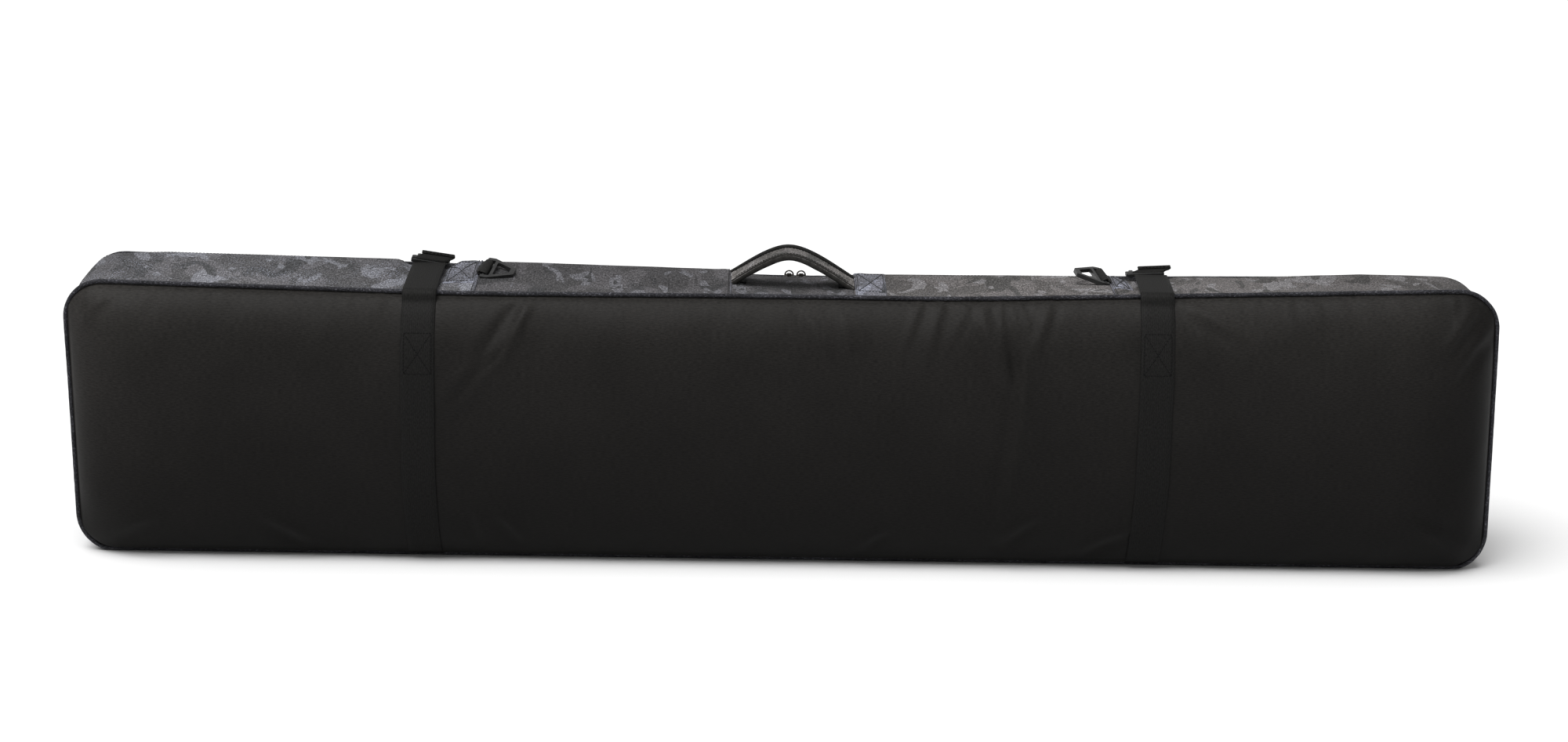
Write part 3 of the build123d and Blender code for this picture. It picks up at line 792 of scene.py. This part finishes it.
def gathers(x, z, high, low_x, high_x, seed, count, reach=0.045):
    """Short creases that run down from the upper seam."""
    draws = np.random.default_rng(seed)
    total = 0.0
    for k in range(count):
        centre = low_x + (high_x - low_x) * (k + draws.uniform(0.1, 0.9)) / count
        width = draws.uniform(0.0035, 0.0070)
        long = reach * draws.uniform(0.5, 1.5)
        lean = draws.uniform(-0.5, 0.7)
        down = np.maximum(high - z, 0.0)
        sideways = x - centre - lean * down
        fade = np.exp(-(down / long) ** 2) * ease(down, 0.0, 0.006)
        profile = bell(sideways, width) - 0.7 * bell(sideways - 1.6 * width, width)
        total += draws.uniform(0.0008, 0.0020) * profile * fade
    return total


def seamed(height, x, z, low, high):
    """The panel's cloth tucked in behind the piping at its seam."""
    inward = np.minimum(np.minimum(z - low, high - z), 1.2 * (HALF - PROUD - np.abs(x)))
    out = ease(inward, 0.0015, 0.0050)
    return np.maximum(height, 0.0) * out - 0.0026 * (1 - ease(inward, 0.0030, 0.0070))


def back_height(x, z, low, high):
    """How far the back panel stands out from its seam."""
    height = panel_height(x, z, low, high, *BACK_SWELL)
    inward, end = np.minimum(z - low, high - z), HALF - np.abs(x)
    inner = ease(inward, 0.0, 0.03) * ease(end, 0.0, 0.03)
    height += 0.0011 * inner * ripple(x, 1.3 * z, 0.21, 3)
    height += 0.0006 * inner * ripple(1.4 * x, z, 0.075, 5)
    edge = bell(inward - 0.006, 0.010) * ease(end, 0.01, 0.05)
    height += 0.0005 * edge * ripple(x, 0.0 * z, 0.021, 11)
    clear = ease(inward, 0.004, 0.016)
    for width, depth, *line in CREASES:
        height += clear * crease(x, z, width, CREASED * depth, *line)
    for scale, *places in ((1.5, 0.15, 0.32, 21, 11), (0.6, -0.80, -0.40, 22, 12, 0.02),
                           (0.6, 0.46, 0.80, 23, 9, 0.03)):
        height += scale * gathers(x, z, high, *places)
    return seamed(height, x, z, low, high)


def front_height(x, z, low, high):
    """How far the front panel stands out from its seam."""
    height = panel_height(x, z, low, high, *FRONT_SWELL)
    inward, end = np.minimum(z - low, high - z), HALF - np.abs(x)
    inner = ease(inward, 0.0, 0.03) * ease(end, 0.0, 0.03)
    height += 0.0014 * inner * ripple(x, 1.2 * z, 0.19, 41)
    height += 0.0007 * inner * ripple(1.3 * x, z, 0.08, 42)
    edge = bell(inward - 0.008, 0.012)
    height += 0.0005 * edge * ripple(x, 0.0 * z, 0.024, 43)
    height += 0.7 * gathers(x, z, high, -0.75, 0.75, 44, 26, 0.03)
    return seamed(height, x, z, low, high)


def height_at(x, z, front=False):
    """A panel's height at single points."""
    x, z = np.broadcast_arrays(np.asarray(x, float), z)
    high = top(x, PANEL_Y if front else -PANEL_Y) - PROUD
    low = np.zeros_like(high)
    return (front_height if front else back_height)(x, z, low, high)


def panels():
    """The cloth and the lining of the back panel, and of the lid with the strip below it."""
    x, z, low, high = panel_grid(-PANEL_Y, 0.004)
    flat = np.stack([x, z], -1)
    back = grid("back_panel", np.stack([x, -PANEL_Y - back_height(x, z, low, high), z], -1), flat)
    sewn(thicken(back, CLOTH), False, BLACK, ("back_panel_shell", "back_panel_foam"))

    x, z, low, high = panel_grid(PANEL_Y, 0.004)
    points = np.stack([x, PANEL_Y + front_height(x, z, low, high), z], -1)
    front = grid("front_panel", points, flat + (4.0, 0.7), flip=True)
    sewn(thicken(front, CLOTH), True, PATTERN_RIGHT,
         ("lid_shell", "lid_foam", "skirt_shell", "skirt_foam"))

    for name, sign, swell, nodes in (("back_lining", -1, BACK_SWELL, ("back_panel_lining",)),
                                     ("front_lining", 1, FRONT_SWELL, ("lid_lining", "skirt_lining"))):
        x, z, low, high = panel_grid(sign * PANEL_Y, 0.010)
        depth = panel_height(x, z, low, high, *swell) - 0.006
        lining = grid(name, np.stack([x, sign * (PANEL_Y + depth), z], -1), np.stack([x, z], -1),
                      flip=sign < 0)
        sewn(thicken(lining, LINING), sign > 0, LINED, nodes)


panels()


# Gusset ---------------------------------------------------------------------------------------
def gusset_lift(x, z, y, nz):
    """How far the gusset's cloth stands off its plain surface."""
    across = np.clip((y + PIPING_Y) / (TAPE_Y + PIPING_Y), 0.0, 1.0)
    belly = 4 * across * (1 - across)
    run = x + z
    lift = 0.0016 * belly + 0.0012 * belly * ripple(run, 0.8 * y, 0.16, 61)
    lift += 0.0006 * belly * ripple(run, y, 0.045, 62)
    lift += 0.0003 * ripple(run, 0 * y, 0.018, 63) * bell(across - 0.03, 0.10)
    upper = ease(nz, 0.6, 0.95)
    swell = np.interp(x, *zip(*CROWN))
    for strap_x in STRAP_X:
        pressed = 1 - ease(np.abs(x - strap_x), *PRESSED)
        swell *= 1 - 0.94 * pressed
        lift *= 1 - 0.7 * upper * pressed
    rolled = np.where(y < CROWN_Y, ease(y, -0.050, CROWN_Y) ** 1.2,
                      1 - np.clip((y - CROWN_Y) / (TAPE_Y + 0.0015 - CROWN_Y), 0, 1) ** 2.2)
    lift += upper * swell * rolled
    for seam in (*RING_SEAMS, *HANDLE_SEAMS):
        gap = np.abs(x - seam)
        lift += upper * (0.0007 * bell(gap - 0.009, 0.006) - 0.0007 * bell(gap, 0.0022))
    middle = sum(HANDLE_SEAMS) / 2
    reach = (HANDLE_SEAMS[1] - HANDLE_SEAMS[0]) / 2
    sag = np.maximum(1 - ((x - middle) / reach) ** 2, 0.0)
    lift -= upper * 0.0022 * sag * belly
    for seam in HANDLE_SEAMS:
        pull = bell(x - seam, 0.030) * bell(y + 0.006, 0.035)
        lift += upper * 0.0010 * pull
    return lift


def gusset_point(place, y, depth=0.0):
    """Point and normal on the gusset, this deep under its surface."""
    x, z, nx, nz = section(place, y, PROUD + depth)
    lift = gusset_lift(x, z, y, nz)
    x = x + nx * lift
    z = np.maximum(z + nz * lift, FLOOR_GAP + depth)
    y = np.broadcast_to(y, x.shape)
    normal = np.stack([nx, 0 * nx, nz], -1)
    return np.stack([x, y, z], -1), normal


def on_top(x, y, raised=0.0):
    """Point and normal on the gusset's upper side."""
    x, y = np.broadcast_arrays(np.asarray(x, float), y)
    place = np.array([place_over(value) for value in x.ravel()]).reshape(x.shape)
    points, normals = gusset_point(place, y)
    return points + raised * normals, normals


def gusset_piece(name, start, end, material, step):
    """Cloth from one seam to the next. Its far edge is turned in beside the zip."""
    places = stations(start, end, step)
    z = section(places, 0.0, PROUD)[1]
    reach = np.where(z < FOLD[2], PIPING_Y + 0.001, TAPE_Y + 0.0015)
    share = np.append(np.linspace(0, 1, 34), 1.0)
    y = -PIPING_Y - 0.002 + share[None] * (reach[:, None] + PIPING_Y + 0.002)
    depth = np.zeros(len(share))
    depth[-2:] = (0.0007, 0.0022)
    points, _ = gusset_point(places[:, None], y, depth[None])
    run = lengths_along(points[:, 16])
    uv = np.stack([np.broadcast_to(run[:, None], y.shape), y], -1)
    obj = grid("gusset_cloth_" + name, points, uv, flip=True)
    finished(thicken(obj, CLOTH), material, "bag", ("gusset_" + name,))


def gusset():
    seams = [place_over(x) for x in (RING_SEAMS[1], HANDLE_SEAMS[1], HANDLE_SEAMS[0], RING_SEAMS[0])]
    for name, start, end, material, step in (
            ("base", 0.0, 1.0, PATTERN_MIDDLE, 0.008),
            ("right_end", 1.0, seams[0], PATTERN_RIGHT, 0.004),
            ("top_right", seams[0], seams[1], PATTERN_RIGHT, 0.004),
            ("top_middle", seams[1], seams[2], PATTERN_MIDDLE, 0.003),
            ("top_left", seams[2], seams[3], PATTERN_MIDDLE, 0.004),
            ("left_end", seams[3], 8.0, PATTERN_LEFT, 0.004)):
        gusset_piece(name, start, end, material, step)

    places = stations(0.0, 8.0, 0.010)[:-1]
    z = section(places, 0.0, PROUD)[1]
    reach = np.where(z < FOLD[2], PIPING_Y, TAPE_Y + 0.001)
    share = np.array([0, 0.02, 0.15, 0.3, 0.45, 0.6, 0.75, 0.88, 0.95, 0.985, 1.0])
    y = -PIPING_Y - 0.001 + share[None] * (reach[:, None] + PIPING_Y + 0.001)
    depth = LINING_DEPTH - 0.0012 * ease(share, 0.93, 1.0)
    points, _ = gusset_point(places[:, None], y, depth[None])
    run = np.append(lengths_along(points[:, 5]), 4.0)
    y = np.vstack([y, y[:1]])
    uv = np.stack([np.broadcast_to(run[:, None], y.shape), y], -1)
    lining = grid("gusset_inside", points, uv, closed=True)
    finished(thicken(lining, LINING), LINED, "bag", ("gusset_lining", "gusset_foam"))


gusset()


# Piping and seam bindings ---------------------------------------------------------------------
def hoop(name, y, inset, radii, seed, step, least_z):
    """Closed cord round the bag. radii are its half sizes along the depth and outwards."""
    sides = 10
    places = stations(0.0, 8.0, step)[:-1]
    x, z, nx, nz = section(places, y, inset)
    z = np.maximum(z, least_z)
    angle = np.arange(sides) * math.tau / sides
    swell = 1 + 0.045 * ripple(x, z, 0.012, seed) + 0.03 * ripple(x, z, 0.05, seed + 1)
    out = radii[1] * np.sin(angle)[None] * swell[:, None]
    deep = radii[0] * np.cos(angle)[None] * swell[:, None]
    points = np.stack([x[:, None] + nx[:, None] * out, y + deep,
                       np.maximum(z[:, None] + nz[:, None] * out, 0.0)], -1)
    run = np.append(lengths_along(points[:, 0]), 4.0)
    uv = cloth_map(run, np.append(angle, math.tau) * max(radii))
    return grid(name, points, uv, closed=True, tube=True, flip=True)


def trims():
    """Piping over both big seams, and the tape that binds them inside."""
    cord = 0.0025
    for kind, material, slot, in_from, inset, radii, seed, step, least_z, back, front in (
            ("piping", PIPED, "piping_cloth", cord, cord, (cord * 1.04, cord), 71, 0.004, 0.003,
             ("back_piping",), ("lid_piping", "skirt_piping")),
            ("binding", BOUND, "binding_tape", 0.0045, PROUD + BINDING_DEPTH, (0.0062, 0.0016), 81,
             0.008, 0.0098, ("back_seam_binding",), ("lid_seam_binding", "skirt_seam_binding"))):
        for name, sign, nodes in (("_back", -1, back), ("_front", 1, front)):
            made = hoop(kind + name, sign * (PANEL_Y - in_from), inset, radii, seed, step, least_z)
            sewn(made, sign > 0, material, nodes)


trims()


# Zip ------------------------------------------------------------------------------------------
def zip_places(above, step):
    """Places along the zip, from this far above the fold on one end to the same on the other."""
    right, left = (place_beside(FOLD[2] + above, side) for side in (True, False))
    return stations(right, left, step)


def zip_tape(name, near, far, body, node):
    y = np.linspace(near, far, 4)
    x, z = section(zip_places(0.0010, 0.005)[:, None], y[None], PROUD + TAPE_DEPTH + 0.0001)[:2]
    y = np.broadcast_to(y[None], x.shape)
    points = np.stack([x, y, z], -1)
    uv = np.stack([np.broadcast_to(lengths_along(points[:, 0])[:, None], x.shape), y], -1)
    obj = grid(name, points, uv, flip=True)
    finished(thicken(obj, 0.0008), TAPE, body, (node,))


def zip_teeth(name, near, far, phase, body, node):
    """A row of coil teeth. phase is its shift along the zip, in teeth."""
    pitch, wide, tall = 0.0018, 0.0013, 0.0026
    middle = (near + far) / 2
    x, z, nx, nz = section(zip_places(0.0045, 0.002), middle, PROUD + COIL_DEPTH)
    line = np.stack([x, np.full_like(x, middle), z], -1)
    run = lengths_along(line)
    marks = np.arange(pitch * (0.5 + phase), run[-1], pitch)
    centres = read_at(marks, run, line)
    normals = read_at(marks, run, np.stack([nx, 0 * nx, nz], -1))
    along = np.broadcast_to((0.0, 1.0, 0.0), centres.shape)
    teeth = beads(name, centres, along, normals, (far - near, wide, tall))
    finished(teeth, TEETH, body, (node,))


def hard_piece(name, node, bevel, material, body):
    """A moulded or metal piece, in place of its CAD node."""
    finished(moulded(name, node, bevel), material, body, (node,))


def closure():
    """The whole zip. The rows' inner edges reach a little past their CAD solids."""
    reach = 0.0007
    zip_tape("zip_tape_gusset", TAPE_Y - 0.004, COIL_Y[0] + 0.0012, "bag", "zip_tape_body")
    zip_tape("zip_tape_front", LID_COIL_Y[1] - 0.0012, PIPING_Y + 0.0005, "lid", "zip_tape_lid")
    zip_teeth("zip_teeth_gusset", COIL_Y[0], COIL_Y[1] + reach, 0.0, "bag", "zip_coil_body")
    zip_teeth("zip_teeth_front", LID_COIL_Y[0] - reach, LID_COIL_Y[1], 0.5, "lid", "zip_coil_lid")
    hard_piece("zip_stops", "zip_end_stops", 0.0003, METAL, "bag")
    for side in SIDES:
        for kind, bevel in (("slider_", 0.00025), ("pull_", 0.0001)):
            body = kind + side
            hard_piece("zip_" + body, body, bevel, METAL, body)


closure()


# Straps and buckles ---------------------------------------------------------------------------
def joint(name):
    """A joint's row in the frame."""
    return next(j for j in frame["joints"] if j["name"] == name)


def back_strap(side, x):
    """Webbing up the back panel, over the piping and on to the buckle.

    Its path turns at the strap's hinge and runs on along a line that rises towards the gusset.
    """
    inward = 1 if side == "left" else -1
    foot_in, foot_z, below_seam = 0.0045, 0.004, 0.009
    swing_y, swing_z = joint("strap_" + side)["pos_m"][1:]
    head = float(top(x, -PANEL_Y)) - PROUD
    heights = np.linspace(foot_z, head - below_seam, 34)
    drift = foot_in * (1 - ease(heights, 0.0, 0.14)) * inward
    face = -PANEL_Y - height_at(x + drift, heights) - WEB / 2
    path = [(x + sideways, y, z) for sideways, y, z in zip(drift, face, heights)]
    free_low, free_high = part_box("strap_free_" + side)
    end_z = free_high.z - 0.001 if side == "left" else free_low.z + 0.001
    rise = (end_z - swing_z - 0.001) / (free_high.y - swing_y)
    lift = WEB / 2 + 0.0001
    path += [(x, swing_y - 0.0050, swing_z - 0.0034), (x, swing_y + 0.0005, swing_z + lift - 0.0003)]
    span = free_high.y - swing_y
    lean, bowed = (0.0 if side == "left" else 0.006), 0.0008
    for share in (0.08, 0.25, 0.5, 0.75, 1.0):
        bulge = bowed * math.sin(math.pi * share)
        path.append((x + lean * share, swing_y + share * span,
                     swing_z + lift + rise * share * span + bulge))
    web = ribbon("strap_web_" + side, smooth_path(path), (1, 0, 0), STRAP)
    finished(web, WEBBED_BACK, None, ("strap_back_" + side, "strap_free_" + side))
    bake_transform(web)


def tail(side, x):
    """The strap's end, up through the plug's slot, and hemmed."""
    low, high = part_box("strap_tail_" + side)
    plug_low, plug_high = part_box("buckle_plug_" + side)
    roll = math.radians({"left": 8.0, "right": -3.2}[side])
    across = np.array((math.cos(roll), 0.0, -math.sin(roll)))
    slot_y = low.y + WEB / 2
    slot_z = (plug_low.z + plug_high.z) / 2 - 0.001
    long = high.y - slot_y
    rise = high.z - 0.0045 - (slot_z + 0.004)
    over = high.x - STRAP / 2
    path = [(x, slot_y, slot_z - 0.0018), (x + 0.2 * (over - x), slot_y + 0.0001, slot_z + 0.0022),
            ((x + over) / 2, slot_y + 0.0022, slot_z + 0.0044)]
    # up to the tip, and folded back under it for the hem
    for outward, upward in ((0.55, 0.50), (0.93, 0.93), (0.97, 1.05), (0.88, 1.12), (0.50, 0.72)):
        path.append((over, slot_y + outward * long, slot_z + 0.004 + upward * rise))
    web = ribbon("strap_end_" + side, smooth_path(path, 0.0012), across, STRAP, WEB * 0.9)
    finished(web, WEBBED, "strap_" + side, ("strap_tail_" + side,))
    row = np.linspace(0.0045 - STRAP / 2, STRAP / 2 - 0.0045, 12)[:, None] * across
    row = np.array((over, slot_y + 0.60 * long, slot_z + 0.0052 + 0.86 * rise)) + row
    seam = stitches("strap_end_stitches_" + side, [(row, np.tile((0, -0.5, 1.0), (12, 1)))])
    finished(seam, DARK_THREAD, "strap_" + side)


def front_strap(side, x):
    """Webbing up the front panel, under the buckle's socket."""
    heights = np.linspace(0.004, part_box("lid_strap_" + side)[1].z - 0.004, 34)
    face = PANEL_Y + height_at(x, heights, True) + WEB / 2
    path = smooth_path([(x, y, z) for y, z in zip(face, heights)])
    web = ribbon("strap_front_" + side, path, (1, 0, 0), STRAP)
    sewn(web, True, WEBBED, ("strap_foot_" + side, "lid_strap_" + side))


def strap_stitches():
    """Box-and-cross stitches where each strap is sewn to the back panel."""
    half = STRAP / 2 - 0.004
    runs = []
    for x, low, high in zip(STRAP_X, (0.236, 0.247), (0.283, 0.294)):
        for x0, z0, x1, z1 in ((-half, low, half, low), (-half, high, half, high),
                               (-half, low, -half, high), (half, low, half, high),
                               (-half, low, half, high), (-half, high, half, low)):
            t = np.linspace(0, 1, 14)
            xs, zs = x + x0 + (x1 - x0) * t, z0 + (z1 - z0) * t
            ys = -PANEL_Y - height_at(np.full_like(zs, x), zs) - WEB
            runs.append((np.stack([xs, ys, zs], -1), np.tile((0, -1.0, 0.25), (14, 1))))
    seam = stitches("strap_box_stitches", runs, 0.0036, 0.0027)
    finished(seam, DARK_THREAD, "bag")


for side, x in zip(SIDES, STRAP_X):
    back_strap(side, x)
    tail(side, x)
    front_strap(side, x)
    for kind, bevel, body in (("plug_", 0.0006, "strap_" + side), ("socket_", 0.0010, "lid")):
        hard_piece(kind + side, "buckle_" + kind + side, bevel, PLASTIC, body)
strap_stitches()


# Handle ---------------------------------------------------------------------------------------
def handle():
    """Padded arch with a flat cover, rims and stitches, and the tabs that its feet end in."""
    low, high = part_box("handle_cover")
    left, right = HANDLE_SEAMS[0] + 0.0015, HANDLE_SEAMS[1] - 0.0015
    peak_x = (left + right) / 2 - 0.004
    middle_y = (low.y + high.y) / 2
    half_wide = (high.y - low.y) / 2
    peak_z = high.z - 0.0082
    turned = 0.008       # it stands askew: the left foot is this far back, and the right one forward
    clear = 0.0006
    foot_z = {side: float(on_top(x, y)[0][2]) + clear
              for side, x, y in zip(SIDES, (left, right), (middle_y + turned, middle_y - turned))}
    u = np.linspace(-1, 1, 81)
    tilt = 0.0008 * u * u / half_wide
    soft = 0.27          # how round its peak is

    def bow(v):
        """Drop from the peak: round at the top and nearly straight down each leg."""
        return (np.sqrt(v * v + soft**2) ** 1.12 - soft**1.12) / (math.hypot(1, soft) ** 1.12 - soft**1.12)

    x = np.where(u < 0, peak_x + u * (peak_x - left), peak_x + u * (right - peak_x))
    foot = np.where(u < 0, foot_z["left"], foot_z["right"])
    z = peak_z - (peak_z - foot) * bow(u)
    path = np.stack([x, middle_y - turned * u, z], -1)
    tangent = unit(np.gradient(path, axis=0))
    normal = np.stack([-tangent[:, 2], 0 * x, tangent[:, 0]], -1)
    plump = 0.0040 + 0.0007 * ease(1 - np.abs(u), 0.0, 0.7)
    sides, power = 28, 0.45      # its section is nearly a rounded box
    angle = np.arange(sides) * math.tau / sides
    across = half_wide * np.sign(np.cos(angle)) * np.abs(np.cos(angle)) ** power
    outward = np.sign(np.sin(angle)) * np.abs(np.sin(angle)) ** power
    sag = 1 - 0.22 * (1 - (across / half_wide) ** 2)
    wobble = 1 + 0.05 * ripple(x[:, None], across[None], 0.02, 91)
    out = plump[:, None] * outward[None] * np.where(outward > 0, sag, 1.0)[None] * wobble
    points = path[:, None] + normal[:, None] * out[..., None]
    points[..., 1] += across[None]
    points[..., 2] += tilt[:, None] * across[None]
    run = lengths_along(path)
    around = np.append(np.cumsum(np.abs(np.diff(across, prepend=across[0]))), 0.18)
    grip = grid("handle_grip", points, cloth_map(run, around), tube=True, caps=True, flip=True)
    finished(grip, GRIP, None,
             ("handle_cover", "handle_padding", "handle_webbing"))
    grip.data.materials.append(GRIP_SIDE)
    for polygon in grip.data.polygons:
        if polygon.loop_total == 4 and not 1 <= polygon.index % sides <= 12:
            polygon.material_index = 1
    pieces = [grip]

    turn = np.arange(8) * math.tau / 8
    for name, y, raised, radius, material in (
            ("handle_rim_far", half_wide - 0.0030, 0.0002, 0.0027, GRIP_RIM),
            ("handle_rim_near", 0.0016 - half_wide, -0.0012, 0.0014, GRIP_SIDE)):
        centre = path + normal * (plump[:, None] + raised)
        fat = radius * (0.75 + 0.25 * ease(1 - np.abs(u), 0.0, 0.6))
        ring = centre[:, None] + normal[:, None] * (fat[:, None] * np.sin(turn))[..., None]
        ring[..., 1] = path[:, 1:2] + y + fat[:, None] * np.cos(turn)
        ring[..., 2] += tilt[:, None] * y
        places = cloth_map(run, np.append(turn, math.tau) * radius)
        rim = grid(name, ring, places, tube=True, caps=True, flip=True)
        pieces.append(finished(rim, material))

    rows = []
    for y in (half_wide - 0.0072, 0.0052 - half_wide):
        line = path + normal * (plump * 0.92)[:, None]
        line[:, 1] = path[:, 1] + y
        rows.append((line[3:-3], normal[3:-3]))
    seam = stitches("handle_stitches", rows, 0.0038, 0.0028)
    pieces.append(finished(seam, DARK_THREAD))
    for obj in pieces:
        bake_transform(obj)

    long, wide, thick = 0.018, 0.022, 0.0012
    for side, seam_x, inward in zip(SIDES, HANDLE_SEAMS, (1, -1)):
        xs = seam_x + inward * long * np.linspace(0, 1, 8)
        line, _ = on_top(xs, middle_y + inward * turned, 0.0004)
        tab = ribbon("handle_tab_" + side, line, (0, 1, 0), wide, thick)
        finished(tab, WEBBED, "bag", ("handle_anchor_" + side,))


handle()


# Rings and their loops ------------------------------------------------------------------------
def ring(side, seam, inward):
    """A ring, and its loop of webbing: out of the seam, round the ring's bar and back."""
    node = "ring_" + side
    hard_piece("plastic_ring_" + side, node, 0.0008, RING_PLASTIC, node)
    hinge = joint(node)
    centre = np.array(hinge["pos_m"])
    across = np.array(hinge["axis"])
    across *= np.sign(across[1])
    upward = np.array((0.0, 0.0, 1.0))
    upward -= across * (upward @ across)
    upward /= np.linalg.norm(upward)
    outward = np.cross(across, upward)
    outward *= np.sign(outward[0]) * inward
    bar, slack = 0.0024, 0.0004
    radius = bar + slack + WEB / 2
    path = []
    sides = []
    flat = np.array((0.0, 1.0, 0.0))

    def foot(back, raised):
        point, _ = on_top(np.array([centre[0] - inward * back]), centre[1], raised)
        path.append(point[0])
        sides.append(flat)

    def round_bar(angle, stretch=1.0):
        path.append(centre + stretch * radius * (outward * math.sin(angle) - upward * math.cos(angle)))
        sides.append(across)

    run = abs(centre[0] - seam)
    foot(run + 0.001, 0.0012)
    foot(run * 0.7, 0.0014)
    for angle in (-0.5, 0.2, 0.9, 1.6, 2.3, 3.0):
        round_bar(angle)
    round_bar(3.7, 1.25)
    foot(run * 0.75, 0.0046)
    foot(run + 0.001, 0.0032)
    line = smooth_path(path, 0.0010)
    share = np.clip(lengths_along(line) / lengths_along(line)[-1], 0, 1)
    knots = lengths_along(np.array(path))
    web = ribbon("ring_web_" + side, line, read_at(share, knots / knots[-1], np.array(sides)), 0.030)
    finished(web, WEBBED_LOOP, "bag", ("ring_loop_" + side,))


for side, seam, inward in zip(SIDES, RING_SEAMS, (1, -1)):
    ring(side, seam, inward)


# Patches and seams on the gusset --------------------------------------------------------------
def patch(name, x, y, nodes=(), shift=0.0):
    """Cloth sewn on the upper side. shift moves it along the print."""
    points, _ = on_top(x[:, None], y[None], 0.0005)
    obj = grid(name, points, cloth_map(x + shift, y))
    finished(thicken(obj, 0.0007), PATTERN_PATCH, "bag", nodes)


def patches():
    for side in SIDES:
        low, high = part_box("patch_" + side)
        patch("patch_cloth_" + side, np.linspace(low.x, high.x, 14), np.linspace(-0.034, 0.044, 24),
              ("patch_" + side,))
    patch("patch_cloth_handle", HANDLE_SEAMS[1] + np.linspace(0.0012, 0.0385, 14),
          np.linspace(-PIPING_Y - 0.001, TAPE_Y - 0.002, 36), shift=0.3)


def across_top(x0, y0, x1, y1, raised=0.0004):
    """Points and normals along a line on the upper side."""
    t = np.linspace(0, 1, 24)
    return on_top(x0 + (x1 - x0) * t, y0 + (y1 - y0) * t, raised)


def boxed(x0, x1, y0, y1):
    """Rows of a box-and-cross stitch on a patch."""
    lines = ((x0, y0, x1, y0), (x1, y0, x1, y1), (x1, y1, x0, y1), (x0, y1, x0, y0),
             (x0, y0, x1, y1), (x0, y1, x1, y0))
    return [across_top(*line, 0.0010) for line in lines]


def top_stitches():
    """Stitches on the patches, beside the seams and along the zip, and the seams' own cords."""
    near, far = -PIPING_Y + 0.004, TAPE_Y - 0.004
    runs = []
    for side in SIDES:
        low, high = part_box("patch_" + side)
        runs += boxed(low.x + 0.004, high.x - 0.004, -0.028, 0.038)
    runs += boxed(HANDLE_SEAMS[1] + 0.005, HANDLE_SEAMS[1] + 0.036, -0.046, 0.042)
    for seam, outward in zip((*RING_SEAMS, *HANDLE_SEAMS), (-1, 1, -1, 1)):
        runs.append(across_top(seam + outward * 0.0032, near, seam + outward * 0.0032, far))
    finished(stitches("gusset_stitches", runs, 0.0038, 0.0028), GREY_THREAD, "bag")

    edge = []
    for start, end in ((place_beside(0.06, True), 4.0), (4.0, 5.0), (5.0, place_beside(0.06, False))):
        places = stations(start, end, 0.006)
        points, normals = gusset_point(places, TAPE_Y - 0.0022)
        edge.append((points + 0.0002 * normals, normals))
    finished(stitches("zip_edge_stitches", edge), DARK_THREAD, "bag")

    for name, seam in zip(("left", "right", "handle_left"), (*RING_SEAMS, HANDLE_SEAMS[0])):
        y = np.linspace(near - 0.004, far + 0.003, 40)
        line, normals = on_top(np.full_like(y, seam), y, 0.0006)
        cord = ribbon("seam_piping_" + name, line, (1, 0, 0), 0.0022, 0.0020)
        finished(cord, PATTERN_PATCH, "bag")


patches()
top_stitches()
